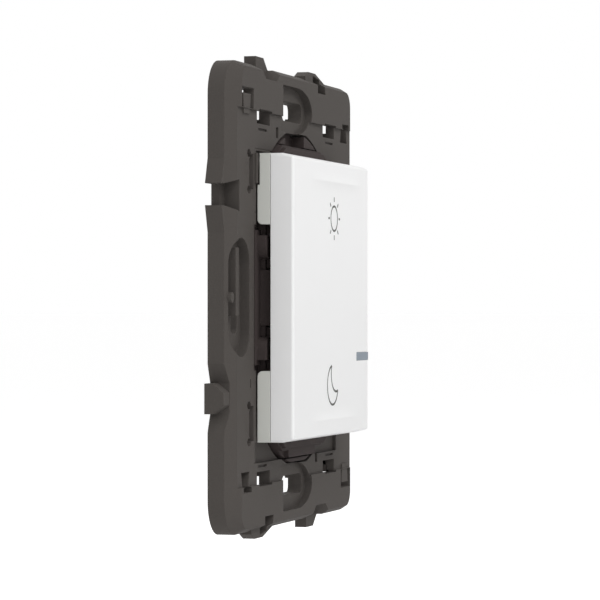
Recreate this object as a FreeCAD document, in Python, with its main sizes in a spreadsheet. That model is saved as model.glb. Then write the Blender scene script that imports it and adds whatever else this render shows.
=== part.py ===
import FreeCAD, Part
import os
from math import atan2, cos, pi, radians, sin

import Sketcher
from FreeCAD import Placement, Rotation, Vector

# Battery-powered wall switch: a moulded support frame, a flat radio module in its opening
# and a white rocking key on a grey carrier.
# X runs to the right seen from the front, Z up, and the front faces -Y.
# The origin is the middle of the back face, so a level is a distance in front of the wall.

SIZES = {
    # Support frame, outside
    "frame_width": 71.0,
    "frame_height": 72.0,
    "frame_corner": 5.4,
    "frame_thickness": 4.1,
    "side_wall_height": 2.6,
    "side_slope": 4.2,
    "end_slope": 0.8,
    "front_corner": 2.6,
    "skin": 1.7,
    "rim": 1.8,
    "core_gap": 1.6,
    "band_start": 28.8,
    "band_rise": 0.4,
    # Opening for the module
    "opening_width": 47.4,
    "opening_height": 53.0,
    "opening_radius": 27.0,
    "relief_half_width": 23.4,
    "relief_high": 23.0,
    "relief_low": 25.5,
    "relief_depth": 0.6,
    "corner_core_inner": 14.5,
    "corner_core_outer": 22.9,
    "corner_core_low": 17.0,
    "opening_wall": 1.4,
    # Screw places at the top and bottom
    "screw_spacing": 60.0,
    "slot_width": 11.2,
    "slot_height": 3.2,
    "slot_corner": 1.2,
    "slot_relief_reach": 2.6,
    "slot_relief_depth": 0.5,
    "slot_relief_drop": 0.9,
    "recess_width": 16.6,
    "recess_height": 7.4,
    "recess_depth": 1.3,
    "recess_shift": 0.1,
    "recess_offset": 0.9,
    # Screw places at the left and right
    "side_recess_place": 30.3,
    "side_recess_width": 8.4,
    "side_recess_height": 18.0,
    "side_recess_depth": 1.6,
    "side_recess_corner": 4.0,
    "side_rib_shift": 1.9,
    "side_slot_width": 3.0,
    "side_slot_height": 11.0,
    "side_slot_shift": 0.6,
    "side_rib_width": 1.6,
    "side_rib_height": 10.3,
    "side_rib_rise": 1.3,
    "pip_place": 34.1,
    "pip_radius": 0.8,
    "pip_back": 1.9,
    "pip_front": 3.5,
    "side_boss_margin": 1.3,
    # Windows beside the screws, half closed by a sill
    "window_inner": 15.3,
    "window_outer": 22.2,
    "window_low": 26.9,
    "window_high": 29.1,
    "window_sill": 1.2,
    "window_sill_height": 1.35,
    # Spring tongues in two corners
    "tongue_inner": 25.2,
    "tongue_outer": 31.2,
    "tongue_low": 28.9,
    "tongue_high": 32.0,
    "tongue_gap": 1.0,
    "tongue_taper": 0.45,
    "tongue_end_gap": 0.9,
    "tongue_thickness": 1.1,
    "tongue_drop": 0.15,
    # Catch windows in the other two corners
    "catch_inner": 26.2,
    "catch_outer": 30.4,
    "catch_narrow": 0.6,
    "catch_low": 26.6,
    "catch_high": 29.7,
    "catch_foot": 0.8,
    "catch_depth": 2.6,
    # Fine slits and pockets near the opening
    "slit_inner": 16.9,
    "slit_outer": 21.5,
    "slit_level": 25.85,
    "slit_thickness": 0.35,
    "slit_depth": 0.3,
    "drop_slit_place": 11.9,
    "drop_slit_low": 25.2,
    "drop_slit_high": 26.9,
    "drop_slit_width": 1.3,
    "drop_slit_depth": 0.7,
    "side_slit_place": 25.7,
    "side_slit_height": 12.5,
    "side_slit_length": 1.3,
    # Spring slots in the stiles
    "stile_slot_low": 15.9,
    "stile_slot_high": 22.7,
    "stile_slot_place": 24.85,
    "stile_slot_width": 1.8,
    "stile_bulb_width": 2.0,
    "stile_bulb_start": 25.3,
    "stile_bulb_height": 1.2,
    "stile_bulb_corner": 0.5,
    "stile_ramp_width": 2.45,
    "stile_ramp_depth": 0.15,
    "stile_slot_depth": 2.6,
    # Side notch, lips and tab
    "notch_low": 13.8,
    "notch_high": 17.1,
    "notch_depth": 1.8,
    "notch_flare": 0.8,
    "lip_reach": 1.3,
    "lip_low": 9.8,
    "lip_high": 20.9,
    "tab_low": 12.9,
    "tab_high": 17.5,
    "tab_reach": 1.6,
    "tab_neck_low": 14.3,
    "tab_neck_high": 16.2,
    "tab_plain": 1.3,
    "tab_height": 3.0,
    "dip_depth": 1.3,
    "dip_low": 10.0,
    "dip_high": 20.3,
    # Coupling hooks and blocks on the top and bottom edges
    "top_hook_place": -17.0,
    "bottom_hook_place": 11.5,
    "hook_flat": 4.2,
    "hook_slant": 2.7,
    "hook_reach": 1.75,
    "hook_level": 1.9,
    "hook_notch_lead": 4.5,
    "hook_notch_depth": 2.0,
    "top_block_place": 6.5,
    "bottom_block_place": -23.6,
    "block_flat": 6.0,
    "block_lead": 1.9,
    "block_lead_drop": 0.8,
    "block_slant": 6.4,
    "block_reach": 1.2,
    "block_low": 1.3,
    "block_high": 3.2,
    "block_pocket_start": 4.5,
    "block_pocket_width": 4.6,
    "block_pocket_depth": 2.1,
    "block_pocket_wall": 0.8,
    # Module base
    "module_gap": 0.3,
    "flange_height": 3.8,
    "flange_gap": 0.5,
    "flange_side_low": 10.4,
    "flange_side_drop": 0.5,
    "side_core_inner": 20.6,
    "side_core_outer": 22.5,
    "side_core_low": 5.4,
    "side_core_high": 11.4,
    "side_core_skin": 1.2,
    "upper_high": 24.1,
    "upper_low": 25.3,
    "groove_width": 0.3,
    "groove_depth": 1.0,
    "groove_half_length": 10.6,
    "groove_low_half_length": 7.6,
    "clip_notch_left": 7.2,
    "clip_notch_right": 3.6,
    "module_height": 4.5,
    "base_floor": 1.2,
    "base_wall": 1.4,
    "base_half_width": 20.3,
    "inside_half_height": 23.0,
    "clip_width": 9.2,
    "clip_reach": 0.7,
    "clip_thickness": 0.8,
    "clip_level": 0.9,
    "clip_gap": 0.15,
    "ear_inner": 6.0,
    "ear_outer": 9.6,
    "ear_reach": 2.4,
    "ear_height": 5.3,
    "ear_radius": 2.2,
    "boss_place_x": 15.0,
    "boss_place_z": 17.4,
    "boss_radius": 2.0,
    "boss_height": 2.2,
    "bearing_half_height": 4.3,
    "bearing_height": 5.55,
    "bearing_outer": 20.7,
    "bearing_inner": 18.7,
    # Pivot of the rocker
    "pivot_level": 4.2,
    "pin_radius": 0.9,
    "pin_clearance": 0.05,
    "pin_length": 1.4,
    "pin_end_gap": 0.2,
    "lug_gap": 0.25,
    "lug_thickness": 1.0,
    "lug_half_height": 1.8,
    # Battery door and cell
    "door_radius": 12.2,
    "door_gap": 0.15,
    "door_step": 1.0,
    "door_step_level": 0.6,
    "door_thickness": 1.1,
    "door_slot_length": 14.0,
    "door_slot_width": 2.2,
    "door_slot_depth": 0.6,
    "door_turn": 30.0,
    "door_ring_wall": 0.8,
    "door_lug_width": 2.8,
    "door_lug_reach": 1.0,
    "door_lug_thickness": 0.6,
    "door_lug_count": 3,
    "ledge_gap": 0.1,
    "cell_radius": 10.0,
    "cell_thickness": 3.2,
    "cell_level": 1.3,
    "cell_cap_radius": 8.9,
    "cell_cap_rise": 0.25,
    # Circuit board
    "board_thickness": 0.8,
    "board_half_width": 18.3,
    "board_half_height": 22.4,
    "board_gap": 0.4,
    "board_hole_radius": 11.8,
    "board_notch_half": 2.6,
    "screw_hole_gap": 0.15,
    "screw_shank": 0.8,
    "screw_head": 1.7,
    "screw_head_height": 0.8,
    "screw_reach": 1.4,
    "screw_drive": 1.7,
    "screw_drive_width": 0.4,
    "screw_drive_depth": 0.4,
    # Push switches
    "switch_place": 13.6,
    "switch_side": 6.0,
    "switch_height": 2.7,
    "switch_edge": 0.4,
    "plunger_radius": 1.7,
    "plunger_gap": 0.05,
    "plunger_well": 1.6,
    "plunger_bottom": 1.0,
    "plunger_edge": 0.2,
    "actuator_gap": 0.05,
    # Small parts on the board
    "chip_side": 5.0,
    "chip_height": 0.9,
    "chip_x": 14.4,
    "chip_z": 6.4,
    "crystal_length": 3.2,
    "crystal_width": 2.5,
    "crystal_height": 0.75,
    "crystal_x": 15.6,
    "crystal_z": 11.8,
    "led_length": 1.6,
    "led_width": 0.8,
    "led_height": 0.7,
    "antenna_wire": 0.5,
    "antenna_step": 2.4,
    "antenna_rise": 1.3,
    "antenna_x": -12.4,
    "antenna_z": 20.6,
    "antenna_turns": 4,
    "small_length": 1.6,
    "small_width": 0.8,
    "small_height": 0.6,
    # Cell contacts
    "leaf_thickness": 0.25,
    "leaf_width": 4.0,
    "leaf_end": 3.7,
    "contact_foot": 2.6,
    "tab_length": 0.9,
    # Module cover
    "cover_thickness": 0.8,
    "cover_level": 6.65,
    "cover_half_width": 18.6,
    "cover_half_height": 20.2,
    "cover_corner": 2.5,
    "cover_wall": 1.0,
    "cover_edge": 0.5,
    "cover_lip": 0.6,
    "cover_lip_gap": 0.4,
    "cover_window_gap": 0.5,
    "light_hole_radius": 1.3,
    # Key
    "key_size": 44.6,
    "key_front": 9.65,
    "key_seam": 5.9,
    "key_wall": 1.25,
    "key_edge": 0.45,
    "key_end_drop": 0.45,
    "key_end_run": 1.9,
    "ridge_rise": 0.13,
    "ridge_sink": 0.05,
    "ridge_half_height": 2.0,
    "ridge_end_share": 0.08,
    "ridge_run": 6.0,
    "upper_ridge_place": 18.7,
    "upper_ridge_left": -12.1,
    "upper_ridge_right": 17.7,
    "lower_ridge_place": -19.4,
    "lower_ridge_left": -13.3,
    "lower_ridge_right": 15.8,
    # Carrier
    "seam_gap": 0.06,
    "carrier_gap": 0.1,
    "carrier_plate": 0.8,
    "carrier_wall": 0.9,
    "skirt_inner": 11.3,
    "skirt_outer": 22.3,
    "skirt_thickness": 1.2,
    "skirt_low": 3.8,
    "skirt_corner": 0.8,
    "skirt_step": 0.35,
    "skirt_step_place": 17.4,
    "actuator_half_size": 2.0,
    "actuator_height": 0.3,
    # Indicator
    "lens_start": 14.8,
    "lens_level": -9.55,
    "lens_height": 1.35,
    "lens_thickness": 0.9,
    "lens_gap": 0.03,
    "lens_corner": 0.3,
    "guide_radius": 0.6,
    "guide_gap": 0.1,
    "guide_bottom": 7.0,
    "guide_place": 16.6,
}

# Middles of the small parts on the board
SMALL_PART_SPOTS = ((-15.0, 6.0), (-15.0, 8.0), (-15.0, 10.0), (-15.0, -6.0), (-15.0, -9.0), (11.5, 12.5),
                    (13.0, -14.0), (15.0, -14.0), (6.0, 18.6), (6.0, -19.0))
for spot, (spot_x, spot_z) in enumerate(SMALL_PART_SPOTS):
    SIZES[f"small_x_{spot}"] = spot_x
    SIZES[f"small_z_{spot}"] = spot_z

doc = FreeCAD.newDocument("wall_switch")
sheet = doc.addObject("Spreadsheet::Sheet", "Sizes")


class Size(float):
    """A number that keeps the sheet formula it comes from."""

    def __new__(cls, number, formula=None):
        size = super().__new__(cls, number)
        size.formula = formula or repr(float(number))
        return size

    def __add__(self, other):
        return Size(float(self) + float(other), f"({self.formula} + {formula(other)})")

    def __radd__(self, other):
        return Size(float(other) + float(self), f"({formula(other)} + {self.formula})")

    def __sub__(self, other):
        return Size(float(self) - float(other), f"({self.formula} - {formula(other)})")

    def __rsub__(self, other):
        return Size(float(other) - float(self), f"({formula(other)} - {self.formula})")

    def __mul__(self, other):
        return Size(float(self) * float(other), f"({self.formula} * {formula(other)})")

    def __rmul__(self, other):
        return Size(float(other) * float(self), f"({formula(other)} * {self.formula})")

    def __truediv__(self, other):
        return Size(float(self) / float(other), f"({self.formula} / {formula(other)})")

    def __neg__(self):
        return Size(-float(self), f"(-{self.formula})")


def formula(number):
    return number.formula if isinstance(number, Size) else repr(float(number))


class Sheet:
    """Reads each size from the sheet by its alias."""

    def __getattr__(self, alias):
        return Size(sheet.get(alias), f"Sizes.{alias}")


def fill_sheet():
    for row, (alias, number) in enumerate(SIZES.items(), start=1):
        sheet.set(f"A{row}", alias.replace("_", " "))
        sheet.set(f"B{row}", str(number))
        sheet.setAlias(f"B{row}", alias)
    doc.recompute()


s = Sheet()


# Sketch and feature helpers

def both(number, other):
    """Two numbers, the lower one first."""
    return sorted((number, other))


def new_body(label):
    body = doc.addObject("PartDesign::Body", label)
    body.Label = label
    return body


def new_sketch(body, level=0.0, plane="XZ_Plane"):
    """A sketch on one of the body's own planes, level away from it along its normal."""
    sketch = body.newObject("Sketcher::SketchObject", body.Name + "_sketch")
    support = next(item for item in body.Origin.OriginFeatures if item.Role == plane)
    sketch.AttachmentSupport = [(support, "")]
    sketch.MapMode = "FlatFace"
    sketch.setExpression(".AttachmentOffset.Base.z", formula(level))
    return sketch


def constrain(sketch, number, kind, *references):
    index = sketch.addConstraint(Sketcher.Constraint(kind, *references, float(number)))
    sketch.setExpression(f"Constraints[{index}]", formula(number))


def place_point(sketch, item, end, across, up):
    constrain(sketch, across, "DistanceX", -1, 1, item, end)
    constrain(sketch, up, "DistanceY", -1, 1, item, end)


def draw_polygon(sketch, corners):
    first = sketch.GeometryCount
    count = len(corners)
    for index, (across, up) in enumerate(corners):
        following = corners[(index + 1) % count]
        sketch.addGeometry(Part.LineSegment(Vector(across, up, 0), Vector(following[0], following[1], 0)))
    for index, (across, up) in enumerate(corners):
        previous = first + (index - 1) % count
        sketch.addConstraint(Sketcher.Constraint("Coincident", previous, 2, first + index, 1))
        place_point(sketch, first + index, 1, across, up)


def draw_box(sketch, left, right, low, high):
    draw_polygon(sketch, [(left, low), (right, low), (right, high), (left, high)])


def draw_circle(sketch, across, up, radius):
    item = sketch.addGeometry(Part.Circle(Vector(across, up, 0), Vector(0, 0, 1), float(radius)))
    place_point(sketch, item, 3, across, up)
    constrain(sketch, radius, "Radius", item)


def draw_ellipse(sketch, across, up, half_width, half_height):
    centre = Vector(across, up, 0)
    ways = [(half_width, Vector(1, 0, 0), "Horizontal"), (half_height, Vector(0, 1, 0), "Vertical")]
    (shorter, short_way, _), (longer, long_way, direction) = sorted(ways, key=lambda way: float(way[0]))
    item = sketch.addGeometry(Part.Ellipse(centre + long_way * float(longer),
                                           centre + short_way * float(shorter), centre))
    sketch.exposeInternalGeometry(item)
    sketch.addConstraint(Sketcher.Constraint(direction, item + 1))
    constrain(sketch, 2 * longer, "Distance", item + 1)
    constrain(sketch, 2 * shorter, "Distance", item + 2)
    place_point(sketch, item, 3, across, up)


def draw_round_box(sketch, left, right, low, high, radius):
    """A rectangle whose corners are tangent arcs."""
    first = sketch.GeometryCount
    quarter = pi / 2
    centres = [(right - radius, high - radius), (left + radius, high - radius),
               (left + radius, low + radius), (right - radius, low + radius)]
    normal = Vector(0, 0, 1)
    for index, (across, up) in enumerate(centres):
        circle = Part.Circle(Vector(across, up, 0), normal, float(radius))
        sketch.addGeometry(Part.ArcOfCircle(circle, index * quarter, (index + 1) * quarter))
    ends = [(Vector(right - radius, high, 0), Vector(left + radius, high, 0)),
            (Vector(left, high - radius, 0), Vector(left, low + radius, 0)),
            (Vector(left + radius, low, 0), Vector(right - radius, low, 0)),
            (Vector(right, low + radius, 0), Vector(right, high - radius, 0))]
    for start, end in ends:
        sketch.addGeometry(Part.LineSegment(start, end))
    for index in range(4):
        arc, line, next_arc = first + index, first + 4 + index, first + (index + 1) % 4
        sketch.addConstraint(Sketcher.Constraint("Tangent", arc, 2, line, 1))
        sketch.addConstraint(Sketcher.Constraint("Tangent", line, 2, next_arc, 1))
        sketch.addConstraint(Sketcher.Constraint("Vertical" if index % 2 else "Horizontal", line))
        constrain(sketch, radius, "Radius", arc)
    for index, side in ((0, high), (2, low)):
        constrain(sketch, side, "DistanceY", -1, 1, first + 4 + index, 1)
    for index, side in ((1, left), (3, right)):
        constrain(sketch, side, "DistanceX", -1, 1, first + 4 + index, 1)


def root(square):
    return Size(float(square) ** 0.5, f"sqrt({formula(square)})")


def draw_drum(sketch, half_width, half_height, radius):
    """An upright box whose corners are cut by one circle about the origin."""
    first = sketch.GeometryCount
    low = atan2(float(root(radius * radius - half_width * half_width)), float(half_width))
    high = atan2(float(half_height), float(root(radius * radius - half_height * half_height)))
    circle = Part.Circle(Vector(), Vector(0, 0, 1), float(radius))
    turns = [(low, high), (pi - high, pi - low), (pi + low, pi + high), (2 * pi - high, 2 * pi - low)]
    for start, end in turns:
        sketch.addGeometry(Part.ArcOfCircle(circle, start, end))
    for index, (_, end) in enumerate(turns):
        start = turns[(index + 1) % len(turns)][0]
        corners = [Vector(cos(angle), sin(angle), 0) * float(radius) for angle in (end, start)]
        sketch.addGeometry(Part.LineSegment(*corners))
    for index in range(4):
        arc, line, next_arc = first + index, first + 4 + index, first + (index + 1) % 4
        sketch.addConstraint(Sketcher.Constraint("Coincident", arc, 3, -1, 1))
        sketch.addConstraint(Sketcher.Constraint("Coincident", arc, 2, line, 1))
        sketch.addConstraint(Sketcher.Constraint("Coincident", line, 2, next_arc, 1))
        sketch.addConstraint(Sketcher.Constraint("Vertical" if index % 2 else "Horizontal", line))
        constrain(sketch, radius, "Radius", arc)
    for index, side in ((0, half_height), (2, -half_height)):
        constrain(sketch, side, "DistanceY", -1, 1, first + 4 + index, 1)
    for index, side in ((1, -half_width), (3, half_width)):
        constrain(sketch, side, "DistanceX", -1, 1, first + 4 + index, 1)


def add_feature(body, kind, sketch, length, name):
    feature = body.newObject("PartDesign::" + kind, name)
    feature.Profile = sketch
    feature.setExpression("Length", formula(length))
    feature.Refine = False
    return feature


def pad(body, sketch, length, name):
    return add_feature(body, "Pad", sketch, length, name)


def pocket(body, sketch, depth, name, reverse=False):
    """Cuts back towards the wall, or away from it when reversed."""
    feature = add_feature(body, "Pocket", sketch, depth, name)
    feature.Reversed = reverse
    return feature


def edges_where(feature, test):
    """Names of the edges whose middle point passes the test."""
    doc.recompute()
    names = []
    for index, edge in enumerate(feature.Shape.Edges, start=1):
        middle = edge.valueAt((edge.FirstParameter + edge.LastParameter) / 2)
        if test(edge, middle):
            names.append(f"Edge{index}")
    return names


def dress(body, kind, feature, names, size, label):
    dressed = body.newObject("PartDesign::" + kind, label)
    dressed.Base = (feature, names)
    dressed.setExpression("Radius" if kind == "Fillet" else "Size", formula(size))
    return dressed


TOLERANCE = 0.001


def same(number, other):
    return abs(float(number) - float(other)) < TOLERANCE


def at_level(level):
    """Picks edges that lie wholly on one level in front of the wall."""
    def test(edge, middle):
        ends = [vertex.Point.y for vertex in edge.Vertexes] + [middle.y]
        return all(same(-y, level) for y in ends)
    return test


# Part primitives for pieces that are plain blocks, discs and pins

def place(item, across=0.0, level=0.0, up=0.0):
    """Sets the lowest corner or the base centre; a level is in front of the wall."""
    item.setExpression(".Placement.Base.x", formula(across))
    item.setExpression(".Placement.Base.y", formula(-level))
    item.setExpression(".Placement.Base.z", formula(up))
    return item


def block(name, left, right, low, high, back, front):
    """A box between two sides, two heights and two levels in front of the wall."""
    item = doc.addObject("Part::Box", name)
    item.setExpression("Length", formula(right - left))
    item.setExpression("Width", formula(front - back))
    item.setExpression("Height", formula(high - low))
    return place(item, left, front, low)


TOWARDS_FRONT = Rotation(Vector(1, 0, 0), 90)


def disc(name, across, up, radius, back, front):
    """A cylinder whose axis points to the front."""
    item = doc.addObject("Part::Cylinder", name)
    item.Placement = Placement(Vector(), TOWARDS_FRONT)
    item.setExpression("Radius", formula(radius))
    item.setExpression("Height", formula(front - back))
    return place(item, across, back, up)


def join(name, items):
    fused = doc.addObject("Part::MultiFuse", name)
    fused.Shapes = items
    return fused


def cut(name, base, tool):
    result = doc.addObject("Part::Cut", name)
    result.Base = base
    result.Tool = tool
    return result


# Support frame

def frame_edge_features(body):
    """Notch with lips and tab in its dip, on the left side and turned half round on the right."""
    half_width = s.frame_width / 2
    edge = s.side_wall_height
    notch_root = half_width - s.notch_depth
    outside = half_width + s.lip_reach + s.tab_reach
    flare_root = half_width - s.side_slope
    dip_floor = half_width - s.dip_depth

    def turned(side, pairs):
        return [(-side * across, side * up) for across, up in pairs]

    lips = new_sketch(body, 0.0)
    notches = new_sketch(body, s.frame_thickness)
    flares = new_sketch(body, s.frame_thickness)
    dips = new_sketch(body, s.frame_thickness)
    for side in (1, -1):
        draw_polygon(lips, turned(side, (
            (notch_root, s.lip_low), (half_width, s.lip_low), (half_width + s.lip_reach, s.notch_low),
            (half_width + s.lip_reach, s.notch_high), (half_width, s.lip_high),
            (notch_root, s.lip_high))))
        draw_box(notches, *both(-side * notch_root, -side * outside),
                 *both(side * s.notch_low, side * s.notch_high))
        draw_polygon(flares, turned(side, (
            (flare_root, s.notch_low - s.notch_flare), (half_width, s.notch_low),
            (half_width, s.notch_high), (flare_root, s.notch_high + s.notch_flare))))
        draw_polygon(dips, turned(side, (
            (half_width, -s.dip_low), (dip_floor, -s.tab_low), (dip_floor, -s.tab_high),
            (half_width, -s.dip_high), (outside, -s.dip_high), (outside, -s.dip_low))))
    pad(body, lips, edge, "lips")
    pocket(body, notches, s.frame_thickness, "notches")
    pocket(body, flares, s.frame_thickness - edge / 2, "notch_flares")
    pocket(body, dips, s.frame_thickness, "dips")

    tab_root = dip_floor - s.rim / 2
    for side, start in ((1, -half_width - s.tab_reach), (-1, tab_root)):
        tab = new_sketch(body, start, plane="YZ_Plane")
        draw_polygon(tab, [(-level, -side * up) for level, up in (
            (0.0, s.tab_low), (s.tab_plain, s.tab_low), (s.tab_height, s.tab_neck_low),
            (s.tab_height, s.tab_neck_high), (s.tab_plain, s.tab_high), (0.0, s.tab_high))])
        pad(body, tab, half_width + s.tab_reach - tab_root, "tab")


def frame_couplings(body):
    """Hooks and blocks that join frames standing side by side or one above the other."""
    edge = s.frame_height / 2
    gaps = new_sketch(body, s.frame_thickness)
    hooks = new_sketch(body, 0.0)
    blocks = new_sketch(body, s.block_low)
    hollows = new_sketch(body, s.frame_thickness)
    for side, hook, start in ((1, s.top_hook_place, s.top_block_place),
                              (-1, s.bottom_hook_place, s.bottom_block_place)):
        def points(*pairs):
            return [(across, side * up) for across, up in pairs]

        hook_end = hook + s.hook_flat + s.hook_slant
        draw_polygon(gaps, points(
            (hook - s.hook_notch_lead, edge + s.hook_reach), (hook - s.hook_notch_lead, edge),
            (hook - s.hook_notch_lead / 3, edge - s.hook_notch_depth),
            (hook + s.hook_flat, edge - s.hook_notch_depth),
            (hook_end, edge), (hook_end, edge + s.hook_reach)))
        draw_polygon(hooks, points(
            (hook, edge - s.rim), (hook, edge + s.hook_reach), (hook + s.hook_flat, edge + s.hook_reach),
            (hook_end, edge - s.band_rise), (hook_end, edge - s.rim)))
        end = start + s.block_flat + s.block_slant
        draw_polygon(blocks, points(
            (start, edge - s.rim), (start, edge + s.block_reach - s.block_lead_drop),
            (start + s.block_lead, edge + s.block_reach), (start + s.block_flat, edge + s.block_reach),
            (end, edge - s.band_rise), (end, edge - s.rim)))
        left = start + s.block_pocket_start
        draw_polygon(hollows, points(
            (left, edge - s.block_pocket_depth), (left, edge + s.block_reach - s.block_pocket_wall / 2),
            (left + s.block_pocket_width - s.block_pocket_wall, edge + s.block_reach / 4),
            (left + s.block_pocket_width, edge - s.block_pocket_depth)))
    pocket(body, gaps, s.frame_thickness - s.hook_level, "hook_gaps")
    pad(body, hooks, s.hook_level, "hooks")
    pad(body, blocks, s.block_high - s.block_low, "blocks")
    pocket(body, hollows, s.frame_thickness - s.block_low - s.block_pocket_wall / 2, "block_pockets")


def frame_screw_places(body):
    centre = s.screw_spacing / 2 + s.recess_shift
    floor = s.frame_thickness - s.recess_depth
    half = s.slot_width / 2
    low = s.screw_spacing / 2 - s.slot_height / 2
    side_floor = s.frame_thickness - s.band_rise - s.side_recess_depth
    left = s.recess_offset + s.recess_width / 2
    rounds = new_sketch(body, s.frame_thickness)
    squares = new_sketch(body, s.frame_thickness)
    slots = new_sketch(body, floor)
    reliefs = new_sketch(body, 0.0)
    ovals = new_sketch(body, s.frame_thickness)
    ribs = new_sketch(body, side_floor)
    keyholes = new_sketch(body, side_floor)
    pips = new_sketch(body, s.pip_back)
    for side in (1, -1):
        draw_ellipse(rounds, -s.recess_offset, side * centre, s.recess_width / 2, s.recess_height / 2)
        draw_box(squares, -left, -s.recess_offset,
                 *both(side * (centre - s.recess_height / 2), side * (centre + s.recess_height / 2)))
        draw_round_box(slots, -half, half, *both(side * low, side * (low + s.slot_height)), s.slot_corner)
        draw_box(reliefs, -half - s.slot_relief_reach, half + s.slot_relief_reach,
                 *both(side * (low + s.slot_relief_drop), side * (low + s.slot_height)))

        across = -side * s.side_recess_place
        draw_round_box(ovals, across - s.side_recess_width / 2, across + s.side_recess_width / 2,
                       -s.side_recess_height / 2, s.side_recess_height / 2, s.side_recess_corner)
        rib = across - side * s.side_rib_shift
        rib_low = -s.side_slot_height / 4
        draw_box(ribs, *both(rib, rib + side * s.side_rib_width),
                 *both(side * rib_low, side * (rib_low + s.side_rib_height)))
        near = rib + side * s.side_rib_width
        draw_round_box(keyholes, *both(near, near + side * s.side_slot_width), -s.side_slot_height / 2,
                       s.side_slot_height / 2, s.side_slot_width / 2 - s.side_slot_shift)
        draw_circle(pips, -side * s.pip_place, 0.0, s.pip_radius)
    pocket(body, rounds, s.recess_depth, "recess_rounds")
    pocket(body, squares, s.recess_depth, "recess_squares")
    pocket(body, slots, floor, "screw_slots")
    pocket(body, reliefs, s.slot_relief_depth, "slot_reliefs", reverse=True)
    pocket(body, ovals, s.frame_thickness - side_floor, "side_recesses")
    pad(body, ribs, s.side_rib_rise, "side_ribs")
    pocket(body, keyholes, side_floor, "side_slots")
    pad(body, pips, s.pip_front - s.pip_back, "side_pips")


def frame_windows(body):
    """Windows half closed by a sill at the back, catch windows, spring tongues and fine slits."""
    top = s.frame_thickness
    windows = new_sketch(body, top)
    holes = new_sketch(body, top)
    slits = new_sketch(body, top)
    drops = new_sketch(body, top)
    tongues = new_sketch(body, top - s.tongue_drop - s.tongue_thickness)
    catches = new_sketch(body, top)
    sill_top = s.window_low + s.window_sill_height
    for side in (1, -1):
        for hand in (1, -1):
            sides = both(hand * s.window_inner, hand * s.window_outer)
            draw_box(windows, *sides, *both(side * s.window_low, side * s.window_high))
            draw_box(holes, *sides, *both(side * sill_top, side * s.window_high))
            draw_box(slits, *both(hand * s.slit_inner, hand * s.slit_outer),
                     *both(side * s.slit_level, side * (s.slit_level + s.slit_thickness)))
        draw_box(holes, *both(-side * s.tongue_inner, -side * s.tongue_outer),
                 *both(side * s.tongue_low, side * s.tongue_high))
        draw_box(drops, *both(-side * s.drop_slit_place, -side * (s.drop_slit_place - s.drop_slit_width)),
                 *both(side * s.drop_slit_low, side * s.drop_slit_high))
        draw_box(slits, *both(-side * s.side_slit_place, -side * (s.side_slit_place - s.slit_thickness)),
                 *both(-side * s.side_slit_height, -side * (s.side_slit_height + s.side_slit_length)))
        near = s.tongue_inner + s.tongue_gap
        far = s.tongue_outer - s.tongue_gap
        foot = s.tongue_low - s.tongue_end_gap
        tip = s.tongue_high - s.tongue_end_gap
        draw_polygon(tongues, [(-side * across, side * up) for across, up in (
            (near + s.tongue_taper, foot), (far - s.tongue_taper, foot), (far, tip), (near, tip))])
        draw_polygon(catches, [(side * across, side * up) for across, up in (
            (s.catch_inner, s.catch_low), (s.catch_outer, s.catch_low),
            (s.catch_outer - s.catch_narrow, s.catch_high - s.catch_foot),
            (s.catch_outer, s.catch_high - s.catch_foot), (s.catch_outer, s.catch_high),
            (s.catch_inner, s.catch_high), (s.catch_inner, s.catch_high - s.catch_foot),
            (s.catch_inner + s.catch_narrow, s.catch_high - s.catch_foot))])
    pocket(body, windows, top - s.window_sill, "windows")
    pocket(body, holes, top, "window_holes")
    pocket(body, slits, s.band_rise + s.slit_depth, "fine_slits")
    pocket(body, drops, s.band_rise + s.drop_slit_depth, "drop_slits")
    pad(body, tongues, s.tongue_thickness, "tongues")
    pocket(body, catches, s.catch_depth, "catch_windows")


def frame_stile_slots(body):
    """Four slots that free a springy strip at each side of the opening."""
    top = s.frame_thickness
    near = s.stile_slot_place - s.stile_slot_width / 2
    far = s.stile_slot_place + s.stile_slot_width / 2
    bulb_near = s.stile_bulb_start
    bulb_far = bulb_near + s.stile_bulb_width
    corner = s.stile_bulb_corner
    margin = s.stile_bulb_height
    lap = margin - corner
    ramp_far = far + s.stile_ramp_width
    slots = new_sketch(body, top)
    bulbs = new_sketch(body, top)
    ramps = new_sketch(body, top)
    for side in (1, -1):
        for hand in (1, -1):
            draw_box(slots, *both(hand * near, hand * far),
                     *both(side * (s.stile_slot_low + lap), side * (s.stile_slot_high - lap)))
            for low in (s.stile_slot_low, s.stile_slot_high - margin):
                high = low + margin
                draw_polygon(bulbs, [(hand * across, side * up) for across, up in (
                    (bulb_near + corner, low), (bulb_far - corner, low), (bulb_far, low + corner),
                    (bulb_far, high - corner), (bulb_far - corner, high), (bulb_near + corner, high),
                    (bulb_near, high - corner), (bulb_near, low + corner))])
            draw_polygon(ramps, [(hand * across, side * up) for across, up in (
                (far, s.stile_slot_low + margin), (ramp_far, s.stile_slot_low + 2 * margin),
                (ramp_far, s.stile_slot_high - 2 * margin), (far, s.stile_slot_high - margin))])
    pocket(body, slots, s.band_rise + s.stile_slot_depth, "stile_slots")
    pocket(body, bulbs, s.band_rise + s.stile_slot_depth, "stile_bulbs")
    pocket(body, ramps, s.band_rise + s.stile_ramp_depth, "stile_ramps")


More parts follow.
